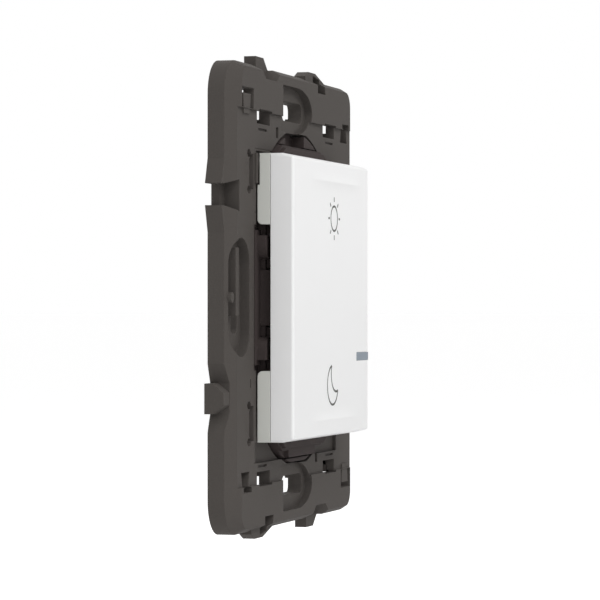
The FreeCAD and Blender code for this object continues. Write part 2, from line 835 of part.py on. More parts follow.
def frame_cores(body):
    """Hollows moulded into the back, so that the plate is a skin with walls round it."""
    half_width = s.frame_width / 2
    half_height = s.frame_height / 2
    ceiling = s.frame_thickness - s.band_rise - s.skin
    outer = half_width - s.rim - s.notch_depth - s.core_gap
    inner = s.opening_width / 2 + s.opening_wall
    near = s.opening_height / 2 + s.opening_wall
    far = half_height - s.hook_notch_depth - s.core_gap
    boss = s.recess_width / 2 + s.opening_wall / 2
    boss_end = s.side_recess_height / 2 + s.side_boss_margin
    bands = new_sketch(body, 0.0)
    stiles = new_sketch(body, 0.0)
    corners = new_sketch(body, 0.0)
    for side in (1, -1):
        for hand in (1, -1):
            draw_box(bands, *both(hand * boss, hand * outer), *both(side * near, side * far))
            draw_box(stiles, *both(hand * inner, hand * outer),
                     *both(side * boss_end, side * (near - s.core_gap)))
            draw_polygon(corners, [(hand * across, side * up) for across, up in (
                (s.corner_core_inner, near - s.core_gap), (s.corner_core_outer, near - s.core_gap),
                (s.corner_core_outer, s.corner_core_low))])
    pocket(body, bands, s.frame_thickness - s.skin, "end_cores", reverse=True)
    pocket(body, stiles, ceiling, "stile_cores", reverse=True)
    pocket(body, corners, ceiling - s.relief_depth, "corner_cores", reverse=True)


def make_support_frame():
    body = new_body("support_frame")
    half_width, half_height = s.frame_width / 2, s.frame_height / 2
    plate = new_sketch(body, 0.0)
    draw_round_box(plate, -half_width, half_width, -half_height, half_height, s.frame_corner)
    pad(body, plate, s.side_wall_height, "plate")

    low = new_sketch(body, s.side_wall_height)
    draw_round_box(low, -half_width, half_width, -half_height, half_height, s.frame_corner)
    high = new_sketch(body, s.frame_thickness)
    draw_round_box(high, s.side_slope - half_width, half_width - s.side_slope,
                   s.end_slope - half_height, half_height - s.end_slope, s.front_corner)
    slope = body.newObject("PartDesign::AdditiveLoft", "slope")
    slope.Profile = low
    slope.Sections = [high]
    slope.Ruled = True

    middle = new_sketch(body, s.frame_thickness)
    draw_box(middle, -s.frame_width, s.frame_width, -s.band_start, s.band_start)
    pocket(body, middle, s.band_rise, "middle_step")

    relief = new_sketch(body, s.frame_thickness)
    draw_box(relief, -s.relief_half_width, s.relief_half_width, -s.relief_low, s.relief_high)
    pocket(body, relief, s.band_rise + s.relief_depth, "skirt_relief")

    opening = new_sketch(body, s.frame_thickness)
    half_tall = s.opening_height / 2
    draw_drum(opening, s.opening_width / 2, half_tall, s.opening_radius)
    pocket(body, opening, s.frame_thickness, "opening")

    frame_edge_features(body)
    frame_couplings(body)
    frame_cores(body)
    frame_screw_places(body)
    frame_windows(body)
    frame_stile_slots(body)

    clips = new_sketch(body, s.clip_level + s.clip_thickness + s.clip_gap)
    for side in (1, -1):
        left, right = clip_sides(side, s.module_gap)
        draw_box(clips, left, right,
                 *both(side * (half_tall - s.module_gap), side * (half_tall + s.clip_reach)))
    pocket(body, clips, s.clip_thickness + 2 * s.clip_gap, "clip_pockets")
    return body


def clip_sides(side, margin):
    """Left and right side of the module's clip at the top or the bottom."""
    middle = (s.clip_notch_right - s.clip_notch_left) / 2
    half = s.clip_width / 2 + margin
    return side * middle - half, side * middle + half


# Radio module

def make_module_base():
    body = new_body("module_base")
    flange_x = s.opening_width / 2 - s.module_gap
    flange_z = s.opening_height / 2 - s.module_gap
    drum = s.opening_radius - s.flange_gap
    flange = new_sketch(body, 0.0)
    draw_drum(flange, flange_x, flange_z, drum)
    pad(body, flange, s.flange_height, "flange")

    sides = new_sketch(body, s.flange_height)
    for hand in (1, -1):
        for side in (1, -1):
            draw_box(sides, *both(hand * s.base_half_width, hand * (flange_x + s.module_gap)),
                     *both(side * s.flange_side_low, side * s.relief_high))
    pocket(body, sides, s.flange_side_drop, "flange_sides")

    upper = new_sketch(body, 0.0)
    draw_drum(upper, s.base_half_width, s.upper_high, drum)
    pad(body, upper, s.module_height, "upper_body")
    chin = new_sketch(body, 0.0)
    draw_box(chin, -s.groove_low_half_length, s.groove_low_half_length, -s.upper_low, -s.inside_half_height)
    pad(body, chin, s.module_height, "lower_chin")

    grooves = new_sketch(body, s.flange_height)
    notch = new_sketch(body, s.flange_height)
    draw_box(grooves, -s.groove_half_length, s.groove_half_length,
             s.upper_high, s.upper_high + s.groove_width)
    draw_box(grooves, -s.groove_low_half_length, s.groove_low_half_length,
             -s.upper_low - s.groove_width, -s.upper_low)
    draw_box(notch, -s.clip_notch_left, s.clip_notch_right, s.upper_high, flange_z + s.module_gap)
    pocket(body, grooves, s.groove_depth, "end_grooves")
    pocket(body, notch, s.flange_height - s.clip_level - s.clip_thickness, "clip_notch")

    bearings = new_sketch(body, 0.0)
    for hand in (1, -1):
        draw_box(bearings, *both(hand * s.bearing_inner, hand * s.bearing_outer),
                 -s.bearing_half_height, s.bearing_half_height)
    pad(body, bearings, s.bearing_height, "bearing_walls")

    inside = new_sketch(body, s.module_height)
    draw_drum(inside, s.base_half_width - s.base_wall, s.inside_half_height, drum - s.base_wall)
    pocket(body, inside, s.module_height - s.base_floor, "inside")

    seats = new_sketch(body, s.base_floor)
    for hand in (1, -1):
        draw_box(seats, *both(hand * s.bearing_inner, hand * (s.base_half_width - s.base_wall / 2)),
                 -s.bearing_half_height, s.bearing_half_height)
    pad(body, seats, s.bearing_height - s.base_floor, "bearing_seats")

    cores = new_sketch(body, 0.0)
    for hand in (1, -1):
        for side in (1, -1):
            draw_box(cores, *both(hand * s.side_core_inner, hand * s.side_core_outer),
                     *both(side * s.side_core_low, side * s.side_core_high))
    pocket(body, cores, s.flange_height - s.flange_side_drop - s.side_core_skin, "side_cores", reverse=True)

    bosses = new_sketch(body, s.base_floor)
    screw_holes = new_sketch(body, s.boss_height)
    for side in (1, -1):
        draw_circle(bosses, side * s.boss_place_x, side * s.boss_place_z, s.boss_radius)
        draw_circle(screw_holes, side * s.boss_place_x, side * s.boss_place_z, s.screw_shank)
    pad(body, bosses, s.boss_height - s.base_floor, "bosses")
    pocket(body, screw_holes, s.screw_reach, "screw_holes")
    # The board's other two corners lie on square blocks
    rests = new_sketch(body, s.base_floor)
    half = s.boss_radius
    for side in (1, -1):
        across, up = -side * s.boss_place_x, side * s.boss_place_z
        draw_box(rests, across - half, across + half, up - half, up + half)
    pad(body, rests, s.boss_height - s.base_floor, "board_rests")

    ears = new_sketch(body, s.flange_height - s.flange_side_drop)
    for hand in (1, -1):
        for side in (1, -1):
            draw_box(ears, *both(hand * (s.base_half_width - s.cover_lip_gap),
                                 hand * (s.base_half_width + s.ear_reach)),
                     *both(side * s.ear_inner, side * s.ear_outer))
    ear_pad = pad(body, ears, s.ear_height - s.flange_height + s.flange_side_drop, "ears")
    ear_x = s.base_half_width + s.ear_reach
    chosen = edges_where(ear_pad, lambda edge, middle: same(abs(middle.x), ear_x)
                         and same(abs(middle.z), s.ear_inner))
    dress(body, "Fillet", ear_pad, chosen, s.ear_radius, "ear_rounding")

    clips = new_sketch(body, s.clip_level)
    for side in (1, -1):
        draw_box(clips, *clip_sides(side, 0.0), *both(side * (flange_z - s.base_wall),
                                                      side * (flange_z + s.clip_reach)))
    pad(body, clips, s.clip_thickness, "clips")

    door_hole = new_sketch(body, 0.0)
    draw_circle(door_hole, 0.0, 0.0, s.door_radius + s.door_gap)
    pocket(body, door_hole, s.door_step_level + s.ledge_gap, "door_seat", reverse=True)
    neck = new_sketch(body, 0.0)
    draw_circle(neck, 0.0, 0.0, s.door_radius - s.door_step + s.door_gap)
    pocket(body, neck, s.base_floor, "door_neck", reverse=True)

    notches = new_sketch(body, 0.0)
    draw_door_lugs(notches, -s.door_turn, s.door_gap)
    pocket(body, notches, s.base_floor, "lug_notches", reverse=True)

    bores = new_sketch(body, -(s.bearing_inner + s.pin_length + s.pin_end_gap), plane="YZ_Plane")
    draw_circle(bores, -s.pivot_level, 0.0, s.pin_radius + s.pin_clearance)
    pocket(body, bores, 2 * (s.bearing_inner + s.pin_length + s.pin_end_gap), "pivot_bores", reverse=True)
    return body


def draw_door_lugs(sketch, turn, margin):
    """Three bars that reach out from the door's ring, turned about the middle."""
    ring = s.door_radius - s.door_step
    start = ring - s.door_ring_wall
    reach = ring + s.door_lug_reach + margin
    half = s.door_lug_width / 2 + margin
    count = int(s.door_lug_count)
    for index in range(count):
        angle = radians(turn + index * 360 / count)

        def spot(along, aside):
            return along * cos(angle) - aside * sin(angle), along * sin(angle) + aside * cos(angle)
        draw_polygon(sketch, [spot(start, -half), spot(reach, -half), spot(reach, half), spot(start, half)])


def make_battery_door():
    body = new_body("battery_door")
    plate = new_sketch(body, 0.0)
    draw_circle(plate, 0.0, 0.0, s.door_radius)
    pad(body, plate, s.door_step_level, "door_plate")
    ring_radius = s.door_radius - s.door_step
    lug_back = s.base_floor + s.ledge_gap
    lug_front = lug_back + s.door_lug_thickness
    plug = new_sketch(body, 0.0)
    draw_circle(plug, 0.0, 0.0, ring_radius)
    pad(body, plug, lug_front, "door_plug")
    lugs = new_sketch(body, lug_back)
    draw_door_lugs(lugs, 0.0, 0.0)
    pad(body, lugs, s.door_lug_thickness, "door_lugs")
    bowl = new_sketch(body, lug_front)
    draw_circle(bowl, 0.0, 0.0, ring_radius - s.door_ring_wall)
    pocket(body, bowl, lug_front - s.door_thickness, "cell_bowl")
    slot = new_sketch(body, 0.0)
    draw_box(slot, -s.door_slot_length / 2, s.door_slot_length / 2,
             -s.door_slot_width / 2, s.door_slot_width / 2)
    pocket(body, slot, s.door_slot_depth, "coin_slot", reverse=True)
    return body


def make_coin_cell():
    case = disc("cell_case", 0.0, 0.0, s.cell_radius, s.cell_level, s.cell_level + s.cell_thickness
                - s.cell_cap_rise)
    cap = disc("cell_cap", 0.0, 0.0, s.cell_cap_radius, s.cell_level,
               s.cell_level + s.cell_thickness)
    return join("coin_cell", [case, cap])


def make_circuit_board():
    body = new_body("circuit_board")
    outline = new_sketch(body, s.boss_height)
    draw_drum(outline, s.board_half_width, s.board_half_height,
              s.opening_radius - s.flange_gap - s.base_wall - s.board_gap)
    pad(body, outline, s.board_thickness, "board")
    front = s.boss_height + s.board_thickness
    hole = new_sketch(body, front)
    draw_circle(hole, 0.0, 0.0, s.board_hole_radius)
    pocket(body, hole, s.board_thickness, "cell_hole")
    notches = new_sketch(body, front)
    lug_inner = s.bearing_inner - s.lug_gap - s.lug_thickness - s.lug_gap
    for hand in (1, -1):
        draw_box(notches, *both(hand * lug_inner, hand * (s.board_half_width + s.lug_gap)),
                 -s.board_notch_half, s.board_notch_half)
    pocket(body, notches, s.board_thickness, "lug_notches")
    holes = new_sketch(body, front)
    for side in (1, -1):
        draw_circle(holes, side * s.boss_place_x, side * s.boss_place_z, s.screw_shank + s.screw_hole_gap)
    pocket(body, holes, s.board_thickness, "screw_holes")
    return body


def make_board_screws():
    """Two screws with a cross drive, on one diagonal of the board."""
    screws = []
    front = s.boss_height + s.board_thickness
    top = front + s.screw_head_height
    floor = top - s.screw_drive_depth
    half, thin = s.screw_drive / 2, s.screw_drive_width / 2
    for side in (1, -1):
        across, up = side * s.boss_place_x, side * s.boss_place_z
        shank = disc("shank", across, up, s.screw_shank, s.boss_height - s.screw_reach, front)
        head = disc("head", across, up, s.screw_head, front, top)
        cross = join("cross", [block("bar", across - half, across + half, up - thin, up + thin, floor, top),
                               block("bar", across - thin, across + thin, up - half, up + half, floor, top)])
        screws.append(cut("screw", join("screw_blank", [shank, head]), cross))
    group = doc.addObject("Part::Compound", "board_screws")
    group.Links = screws
    return group


def make_switch(name, side):
    """Case and plunger of one push switch; side is up or down from the middle."""
    board_front = s.boss_height + s.board_thickness
    half = s.switch_side / 2
    middle = side * s.switch_place
    case = new_body(name + "_switch_body")
    outline = new_sketch(case, board_front)
    draw_round_box(outline, -half, half, middle - half, middle + half, s.switch_edge)
    pad(case, outline, s.switch_height, "case")
    well = new_sketch(case, board_front + s.switch_height)
    draw_circle(well, 0.0, middle, s.plunger_radius + s.plunger_gap)
    pocket(case, well, s.plunger_well, "plunger_well")

    plunger = new_body(name + "_switch_plunger")
    bottom = board_front + s.switch_height - s.plunger_well + s.plunger_bottom / 2
    top = carrier_underside() - s.actuator_height - s.actuator_gap
    round_bar = new_sketch(plunger, bottom)
    draw_circle(round_bar, 0.0, middle, s.plunger_radius)
    bar = pad(plunger, round_bar, top - bottom, "plunger")
    chosen = edges_where(bar, at_level(top))
    dress(plunger, "Chamfer", bar, chosen, s.plunger_edge, "plunger_edge")
    return case, plunger


def carrier_underside():
    return s.key_front - s.key_wall - s.carrier_gap - s.carrier_plate


def make_small_parts():
    front = s.boss_height + s.board_thickness
    half = s.chip_side / 2
    chip = block("radio_chip", s.chip_x - half, s.chip_x + half, s.chip_z - half, s.chip_z + half,
                 front, front + s.chip_height)
    crystal = block("crystal", s.crystal_x - s.crystal_length / 2, s.crystal_x + s.crystal_length / 2,
                    s.crystal_z - s.crystal_width / 2, s.crystal_z + s.crystal_width / 2,
                    front, front + s.crystal_height)
    led = block("indicator_led", s.guide_place - s.led_length / 2, s.guide_place + s.led_length / 2,
                s.lens_level - s.led_width / 2, s.lens_level + s.led_width / 2, front, front + s.led_height)
    pieces = []
    for index in range(len(SMALL_PART_SPOTS)):
        across, up = getattr(s, f"small_x_{index}"), getattr(s, f"small_z_{index}")
        pieces.append(block("small_part", across - s.small_width / 2, across + s.small_width / 2,
                            up - s.small_length / 2, up + s.small_length / 2, front, front + s.small_height))
    group = doc.addObject("Part::Compound", "board_parts")
    group.Links = pieces
    return [chip, crystal, led, group]


def make_antenna():
    """A meandering wire that stands on the board's top edge."""
    front = s.boss_height + s.board_thickness
    wire = s.antenna_wire
    pieces = []
    for turn in range(int(s.antenna_turns)):
        left = s.antenna_x + turn * s.antenna_step
        low = s.antenna_z - wire / 2
        high = s.antenna_z + wire / 2
        pieces.append(block("leg", left, left + wire, low, high, front, front + s.antenna_rise))
        pieces.append(block("top", left, left + s.antenna_step / 2 + wire, low, high,
                            front + s.antenna_rise - wire, front + s.antenna_rise))
        across = left + s.antenna_step / 2
        pieces.append(block("leg", across, across + wire, low, high, front, front + s.antenna_rise))
        if turn + 1 < int(s.antenna_turns):
            pieces.append(block("foot", across, left + s.antenna_step + wire, low, high,
                                front, front + wire))
    return join("antenna", pieces)


def make_contacts():
    """Spring leaves soldered to the board: one over the cell's cap, one against its rim."""
    front = s.boss_height + s.board_thickness
    cap = s.cell_level + s.cell_thickness
    half = s.leaf_width / 2
    leaf = s.leaf_thickness
    edge = s.board_hole_radius
    outer = edge + s.contact_foot
    negative = join("negative_contact", [
        block("foot", -outer, -edge, -half, half, front, front + leaf),
        block("riser", -edge - leaf, -edge, -half, half, front, cap + leaf),
        block("leaf", -edge - leaf, -s.leaf_end, -half, half, cap, cap + leaf)])
    positive = join("positive_contact", [
        block("foot", s.cell_radius, outer, -half, half, front, front + leaf),
        block("tab", s.cell_radius, s.cell_radius + leaf, -half, half, front - s.tab_length, front)])
    return negative, positive


def make_module_cover():
    body = new_body("module_cover")
    half_x, half_z = s.cover_half_width, s.cover_half_height
    back = s.module_height
    flat = new_sketch(body, back)
    draw_round_box(flat, -half_x, half_x, -half_z, half_z, s.cover_corner)
    raised = pad(body, flat, s.cover_level - back, "cover_block")
    chosen = edges_where(raised, at_level(s.cover_level))
    dress(body, "Chamfer", raised, chosen, s.cover_edge, "cover_edge")

    wide = new_sketch(body, back)
    lip_x = s.key_size / 2 - s.key_wall - s.carrier_gap - s.carrier_wall - s.cover_lip_gap
    draw_drum(wide, lip_x, s.upper_high - s.cover_lip_gap,
              s.opening_radius - s.flange_gap - s.cover_lip_gap)
    pad(body, wide, s.cover_lip, "cover_lip")

    hollow = new_sketch(body, back)
    wall = s.cover_wall
    draw_round_box(hollow, wall - half_x, half_x - wall, wall - half_z, half_z - wall,
                   s.cover_corner - wall)
    pocket(body, hollow, s.cover_level - s.cover_thickness - back, "hollow", reverse=True)

    front = s.cover_level
    holes = new_sketch(body, front)
    for side in (1, -1):
        draw_circle(holes, 0.0, side * s.switch_place, s.plunger_radius + s.cover_window_gap)
    draw_circle(holes, s.guide_place, s.lens_level, s.light_hole_radius)
    pocket(body, holes, front - back, "plunger_holes")

    slots = new_sketch(body, front)
    lug_outer = s.bearing_inner - s.lug_gap
    lug_inner = lug_outer - s.lug_thickness
    for hand in (1, -1):
        draw_box(slots, *both(hand * (lug_inner - s.lug_gap), hand * (s.base_half_width + s.lug_gap)),
                 -s.bearing_half_height - s.lug_gap, s.bearing_half_height + s.lug_gap)
    pocket(body, slots, front - back, "lug_slots")
    return body


# Rocker

def make_rocker_key():
    body = new_body("rocker_key")
    half = s.key_size / 2
    outline = new_sketch(body, s.key_seam)
    draw_box(outline, -half, half, -half, half)
    pad(body, outline, s.key_front - s.key_seam, "key_block")

    outside = half + s.key_wall
    ends = new_sketch(body, -outside, plane="YZ_Plane")
    slope_start = s.key_front - s.key_end_run
    for side in (1, -1):
        draw_polygon(ends, [(-slope_start, side * half), (-s.key_front, side * (half - s.key_end_drop)),
                            (-s.key_front, side * outside), (-slope_start, side * outside)])
    pocket(body, ends, 2 * outside, "end_drafts", reverse=True)
    doc.recompute()
    drafted = body.Tip
    shoulder = half - s.key_end_drop

    def soft(edge, middle):
        corner = same(abs(middle.x), half) and abs(middle.z) > shoulder - TOLERANCE
        end = same(middle.x, 0.0) and -middle.y > s.key_seam + TOLERANCE
        return corner or end or at_level(s.key_front)(edge, middle)

    chosen = edges_where(drafted, soft)
    dress(body, "Fillet", drafted, chosen, s.key_edge, "front_edges")

    hollow = new_sketch(body, s.key_seam)
    inner = half - s.key_wall
    draw_box(hollow, -inner, inner, -inner, inner)
    pocket(body, hollow, s.key_front - s.key_wall - s.key_seam, "hollow", reverse=True)

    key_ridges(body)

    lens_low = s.lens_level - s.lens_height / 2 - s.lens_gap
    lens_high = s.lens_level + s.lens_height / 2 + s.lens_gap
    window = new_sketch(body, s.key_front)
    draw_box(window, s.lens_start - s.lens_gap, outside, lens_low, lens_high)
    pocket(body, window, s.lens_thickness + s.lens_gap, "lens_seat")
    guide = new_sketch(body, s.key_front)
    draw_circle(guide, s.guide_place, s.lens_level, s.guide_radius + s.guide_gap)
    pocket(body, guide, s.key_wall + s.lens_gap, "guide_hole")
    return body


def key_ridges(body):
    """Two low ridges across the key's face, with hollow flanks and ends that fade out."""
    steps = [index / 4 for index in range(5)]
    flank = [(1 - share, share * share) for share in steps]
    for name, up, left, right in (
            ("upper_ridge", s.upper_ridge_place, s.upper_ridge_left, s.upper_ridge_right),
            ("lower_ridge", s.lower_ridge_place, s.lower_ridge_left, s.lower_ridge_right)):
        sections = []
        for across, share in ((left, s.ridge_end_share), (left + s.ridge_run, 1.0),
                              (right - s.ridge_run, 1.0), (right, s.ridge_end_share)):
            base = s.ridge_sink - s.key_front
            slope = [(-s.key_front - high * share * s.ridge_rise, up + side * away * s.ridge_half_height)
                     for side, part in ((-1, flank), (1, flank[-2::-1])) for away, high in part]
            section = new_sketch(body, across, plane="YZ_Plane")
            draw_polygon(section, [(base, up - s.ridge_half_height), *slope,
                                   (base, up + s.ridge_half_height)])
            sections.append(section)
        ridge = body.newObject("PartDesign::AdditiveLoft", name)
        ridge.Profile = sections[0]
        ridge.Sections = sections[1:]
        ridge.Ruled = True


def make_indicator_lens():
    body = new_body("indicator_lens")
    half = s.key_size / 2
    bar = new_sketch(body, s.key_front - s.lens_thickness)
    draw_box(bar, s.lens_start, half, s.lens_level - s.lens_height / 2, s.lens_level + s.lens_height / 2)
    strip = pad(body, bar, s.lens_thickness, "bar")
    corner_edges = edges_where(strip, lambda edge, middle: same(middle.x, s.lens_start)
                               and not same(edge.Vertexes[0].Point.y, edge.Vertexes[1].Point.y))
    dress(body, "Fillet", strip, corner_edges, s.lens_corner, "bar_corners")
    guide = new_sketch(body, s.guide_bottom)
    draw_circle(guide, s.guide_place, s.lens_level, s.guide_radius)
    pad(body, guide, s.key_front - s.lens_thickness / 2 - s.guide_bottom, "light_guide")
    return body


def make_rocker_carrier():
    body = new_body("rocker_carrier")
    half = s.key_size / 2
    inner_key = half - s.key_wall
    outer = inner_key - s.carrier_gap
    back = carrier_underside()
    plate = new_sketch(body, back)
    draw_box(plate, -outer, outer, -outer, outer)
    pad(body, plate, s.carrier_plate, "carrier_plate")

    walls = new_sketch(body, s.key_seam - s.seam_gap)
    for hand in (1, -1):
        for side in (1, -1):
            draw_box(walls, *both(hand * (outer - s.carrier_wall), hand * outer),
                     *both(side * s.skirt_inner, side * (outer - s.carrier_wall)))
    pad(body, walls, back - s.key_seam + s.seam_gap + s.carrier_plate / 2, "side_walls")

    skirt_front = s.key_seam - s.seam_gap
    skirts = new_sketch(body, s.skirt_low)
    for hand in (1, -1):
        for side in (1, -1):
            draw_box(skirts, *both(hand * (half - s.skirt_thickness), hand * half),
                     *both(side * s.skirt_inner, side * s.skirt_outer))
    skirt_pad = pad(body, skirts, skirt_front - s.skirt_low, "skirts")
    chosen = edges_where(skirt_pad, lambda edge, middle: same(-middle.y, s.skirt_low)
                         and same(abs(middle.z), s.skirt_inner))
    dress(body, "Fillet", skirt_pad, chosen, s.skirt_corner, "skirt_corners")

    shelves = new_sketch(body, skirt_front - s.skirt_thickness / 2)
    for hand in (1, -1):
        for side in (1, -1):
            draw_box(shelves, *both(hand * (outer - s.carrier_wall), hand * (half - s.skirt_thickness / 2)),
                     *both(side * s.skirt_inner, side * (outer - s.carrier_wall)))
    pad(body, shelves, s.skirt_thickness / 2, "shelves")

    step = new_sketch(body, s.skirt_low)
    for hand in (1, -1):
        draw_box(step, *both(hand * (half - 2 * s.skirt_thickness), hand * (half + s.skirt_thickness)),
                 s.skirt_step_place, half + s.skirt_thickness)
    pocket(body, step, s.skirt_step, "skirt_step", reverse=True)

    nubs = new_sketch(body, back - s.actuator_height)
    for side in (1, -1):
        draw_box(nubs, -s.actuator_half_size, s.actuator_half_size,
                 *both(side * (s.switch_place - s.actuator_half_size),
                       side * (s.switch_place + s.actuator_half_size)))
    pad(body, nubs, s.actuator_height + s.carrier_plate / 2, "actuators")

    lug_outer = s.bearing_inner - s.lug_gap
    lugs = new_sketch(body, s.pivot_level - s.lug_half_height)
    for hand in (1, -1):
        draw_box(lugs, *both(hand * (lug_outer - s.lug_thickness), hand * lug_outer),
                 -s.lug_half_height, s.lug_half_height)
    pad(body, lugs, back + s.carrier_plate / 2 - s.pivot_level + s.lug_half_height, "lugs")
    for hand in (1, -1):
        ends = both(hand * (lug_outer - s.lug_thickness / 2), hand * (s.bearing_inner + s.pin_length))
        pin = new_sketch(body, ends[0], plane="YZ_Plane")
        draw_circle(pin, -s.pivot_level, 0.0, s.pin_radius)
        pad(body, pin, ends[1] - ends[0], "pin")

    guide = new_sketch(body, back + s.carrier_plate)
    draw_circle(guide, s.guide_place, s.lens_level, s.guide_radius + s.guide_gap)
    pocket(body, guide, s.carrier_plate, "guide_hole")
    return body


# Build, check and write

def check_document():
    broken = [item.Name for item in doc.Objects if "Invalid" in item.State or "Error" in item.State]
    if broken:
        raise RuntimeError("failed objects: " + ", ".join(broken))


def write_node(item, label):
    item.Label = label
    shape = item.Shape
    if shape.isNull() or not shape.isValid():
        raise RuntimeError(f"{label} has no valid shape")
    shape.exportStep(f"parts/{label}.step")


def main():
    fill_sheet()
    upper_case, upper_plunger = make_switch("upper", 1)
    lower_case, lower_plunger = make_switch("lower", -1)
    chip, crystal, led, board_parts = make_small_parts()
    negative, positive = make_contacts()
    nodes = {
        "support_frame": make_support_frame(),
        "module_base": make_module_base(),
        "battery_door": make_battery_door(),
        "coin_cell": make_coin_cell(),
        "negative_contact": negative,
        "positive_contact": positive,
        "circuit_board": make_circuit_board(),
        "board_screws": make_board_screws(),
        "upper_switch_body": upper_case,
        "upper_switch_plunger": upper_plunger,
        "lower_switch_body": lower_case,
        "lower_switch_plunger": lower_plunger,
        "radio_chip": chip,
        "crystal": crystal,
        "indicator_led": led,
        "board_parts": board_parts,
        "antenna": make_antenna(),
        "module_cover": make_module_cover(),
        "rocker_carrier": make_rocker_carrier(),
        "rocker_key": make_rocker_key(),
        "indicator_lens": make_indicator_lens(),
    }
    doc.recompute()
    check_document()
    os.makedirs("parts", exist_ok=True)
    for label, item in nodes.items():
        write_node(item, label)


main()
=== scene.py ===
from math import cos, pi, radians, sin

import bmesh
import bpy
from bpy.props import (FloatProperty, FloatVectorProperty, IntProperty,
                       PointerProperty)
from mathutils import Matrix, Vector


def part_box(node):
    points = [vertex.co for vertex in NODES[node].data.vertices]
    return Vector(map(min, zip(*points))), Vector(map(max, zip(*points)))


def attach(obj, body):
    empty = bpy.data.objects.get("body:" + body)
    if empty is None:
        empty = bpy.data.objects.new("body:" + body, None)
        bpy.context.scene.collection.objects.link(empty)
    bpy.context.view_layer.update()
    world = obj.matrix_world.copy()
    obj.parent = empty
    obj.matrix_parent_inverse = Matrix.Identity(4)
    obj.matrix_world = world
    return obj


bl_info = {
    "name": "Wall Switch Finishes",
    "version": (1, 0, 0),
    "blender": (4, 5, 0),
    "location": "View3D > Sidebar > Wall Switch",
    "description": "Plastics, metals, printed signs and studio of a wireless wall switch",
    "category": "Object",
}

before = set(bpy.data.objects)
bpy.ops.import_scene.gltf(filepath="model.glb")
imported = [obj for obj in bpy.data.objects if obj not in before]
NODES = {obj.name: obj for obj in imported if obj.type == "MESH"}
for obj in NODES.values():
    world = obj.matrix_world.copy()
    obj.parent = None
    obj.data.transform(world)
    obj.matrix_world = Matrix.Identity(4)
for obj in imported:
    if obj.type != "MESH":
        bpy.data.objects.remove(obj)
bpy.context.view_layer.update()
# The lens lies flush with the key's flat face; the key's own box ends at its ridges
KEY_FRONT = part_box("indicator_lens")[0].y

BASE = "base"
ROCKER = "rocker"
# Points nearer than this are one point
WELD = 0.000001
WHITE = (1.0, 1.0, 1.0, 1.0)
# Noise scales of the patterns that have no setting of their own
STAIN_SCALE = 300.0
WEAVE_SCALE = 2400.0
INK_SCALE = 9000.0
# Relief of the tracks, the haze and the ink, as the bump's distance
TRACK_RELIEF = 0.00003
HAZE_RELIEF = 0.00002
INK_RELIEF = 0.00001
HAZE_SIZE = 0.00009
HAZE_FLOW = 0.004
RESIN_IOR = 1.57
BRICK_PITCHES = 5
CLIP_NEAR, CLIP_FAR = 0.01, 500.0


def screen(red, green, blue):
    """Linear colour with alpha 1 of a screen colour from 0 to 255, by the sRGB curve."""
    shown = [part / 255 for part in (red, green, blue)]
    linear = [part / 12.92 if part < 0.04045 else ((part + 0.055) / 1.055) ** 2.4 for part in shown]
    return linear + [1.0]


def colour_property(name, description, shown):
    return FloatVectorProperty(name=name, description=description, subtype="COLOR", size=4,
                               min=0.0, max=1.0, default=screen(*shown))


def length_property(name, description, default, **limits):
    return FloatProperty(name=name, description=description, unit="LENGTH", precision=6,
                         default=default, **limits)


def share_property(name, description, default):
    return FloatProperty(name=name, description=description, subtype="FACTOR", min=0.0, max=1.0,
                         default=default)


def spot_property(name, description, default):
    """Place on the key's front, across and up from its middle."""
    return FloatVectorProperty(name=name, description=description, size=2, unit="LENGTH", precision=6,
                               default=default)


def place_property(name, description, default):
    return FloatVectorProperty(name=name, description=description, subtype="TRANSLATION", size=3,
                               unit="LENGTH", precision=6, default=default)


class PlasticFinishes(bpy.types.PropertyGroup):
    frame_colour: colour_property("Frame", "Dark grey of the support frame", (79, 75, 72))
    module_colour: colour_property("Module", "Darker grey of the radio module's case", (66, 59, 58))
    door_colour: colour_property("Battery door", "Grey of the battery door", (64, 61, 59))
    key_colour: colour_property("Key", "White of the rocking key", (241, 241, 241))
    carrier_colour: colour_property("Carrier", "Light grey of the carrier under the key", (211, 212, 206))
    lens_colour: colour_property("Lens", "Blue grey of the indicator bar", (123, 137, 151))
    plunger_colour: colour_property("Plungers", "Off-white of the switch plungers", (214, 212, 204))
    spark_size: length_property("Spark grain", "Size of the eroded grain on the dark plastics",
                                0.00028, min=0.00005, max=0.002)
    satin_size: length_property("Satin grain", "Size of the grain on the key", 0.00012,
                                min=0.00002, max=0.001)
    edge_radius: length_property("Edge rounding", "Radius with which moulded edges catch the light",
                                 0.00018, min=0.0, max=0.001)
    dark_roughness: share_property("Dark roughness", "Roughness of the dark plastics", 0.62)
    door_roughness: share_property("Door roughness", "Roughness of the battery door", 0.56)
    key_roughness: share_property("Key roughness", "Roughness of the key", 0.34)
    carrier_roughness: share_property("Carrier roughness", "Roughness of the carrier", 0.42)
    plunger_roughness: share_property("Plunger roughness", "Roughness of the plungers", 0.4)
    lens_roughness: share_property("Lens roughness", "Roughness of the indicator bar", 0.3)
    lens_clearness: share_property("Lens clearness", "How much light passes the indicator bar", 0.12)
    dark_gloss: share_property("Dark gloss", "Specular level of the frame and the module", 0.05)
    door_gloss: share_property("Door gloss", "Specular level of the battery door", 0.2)


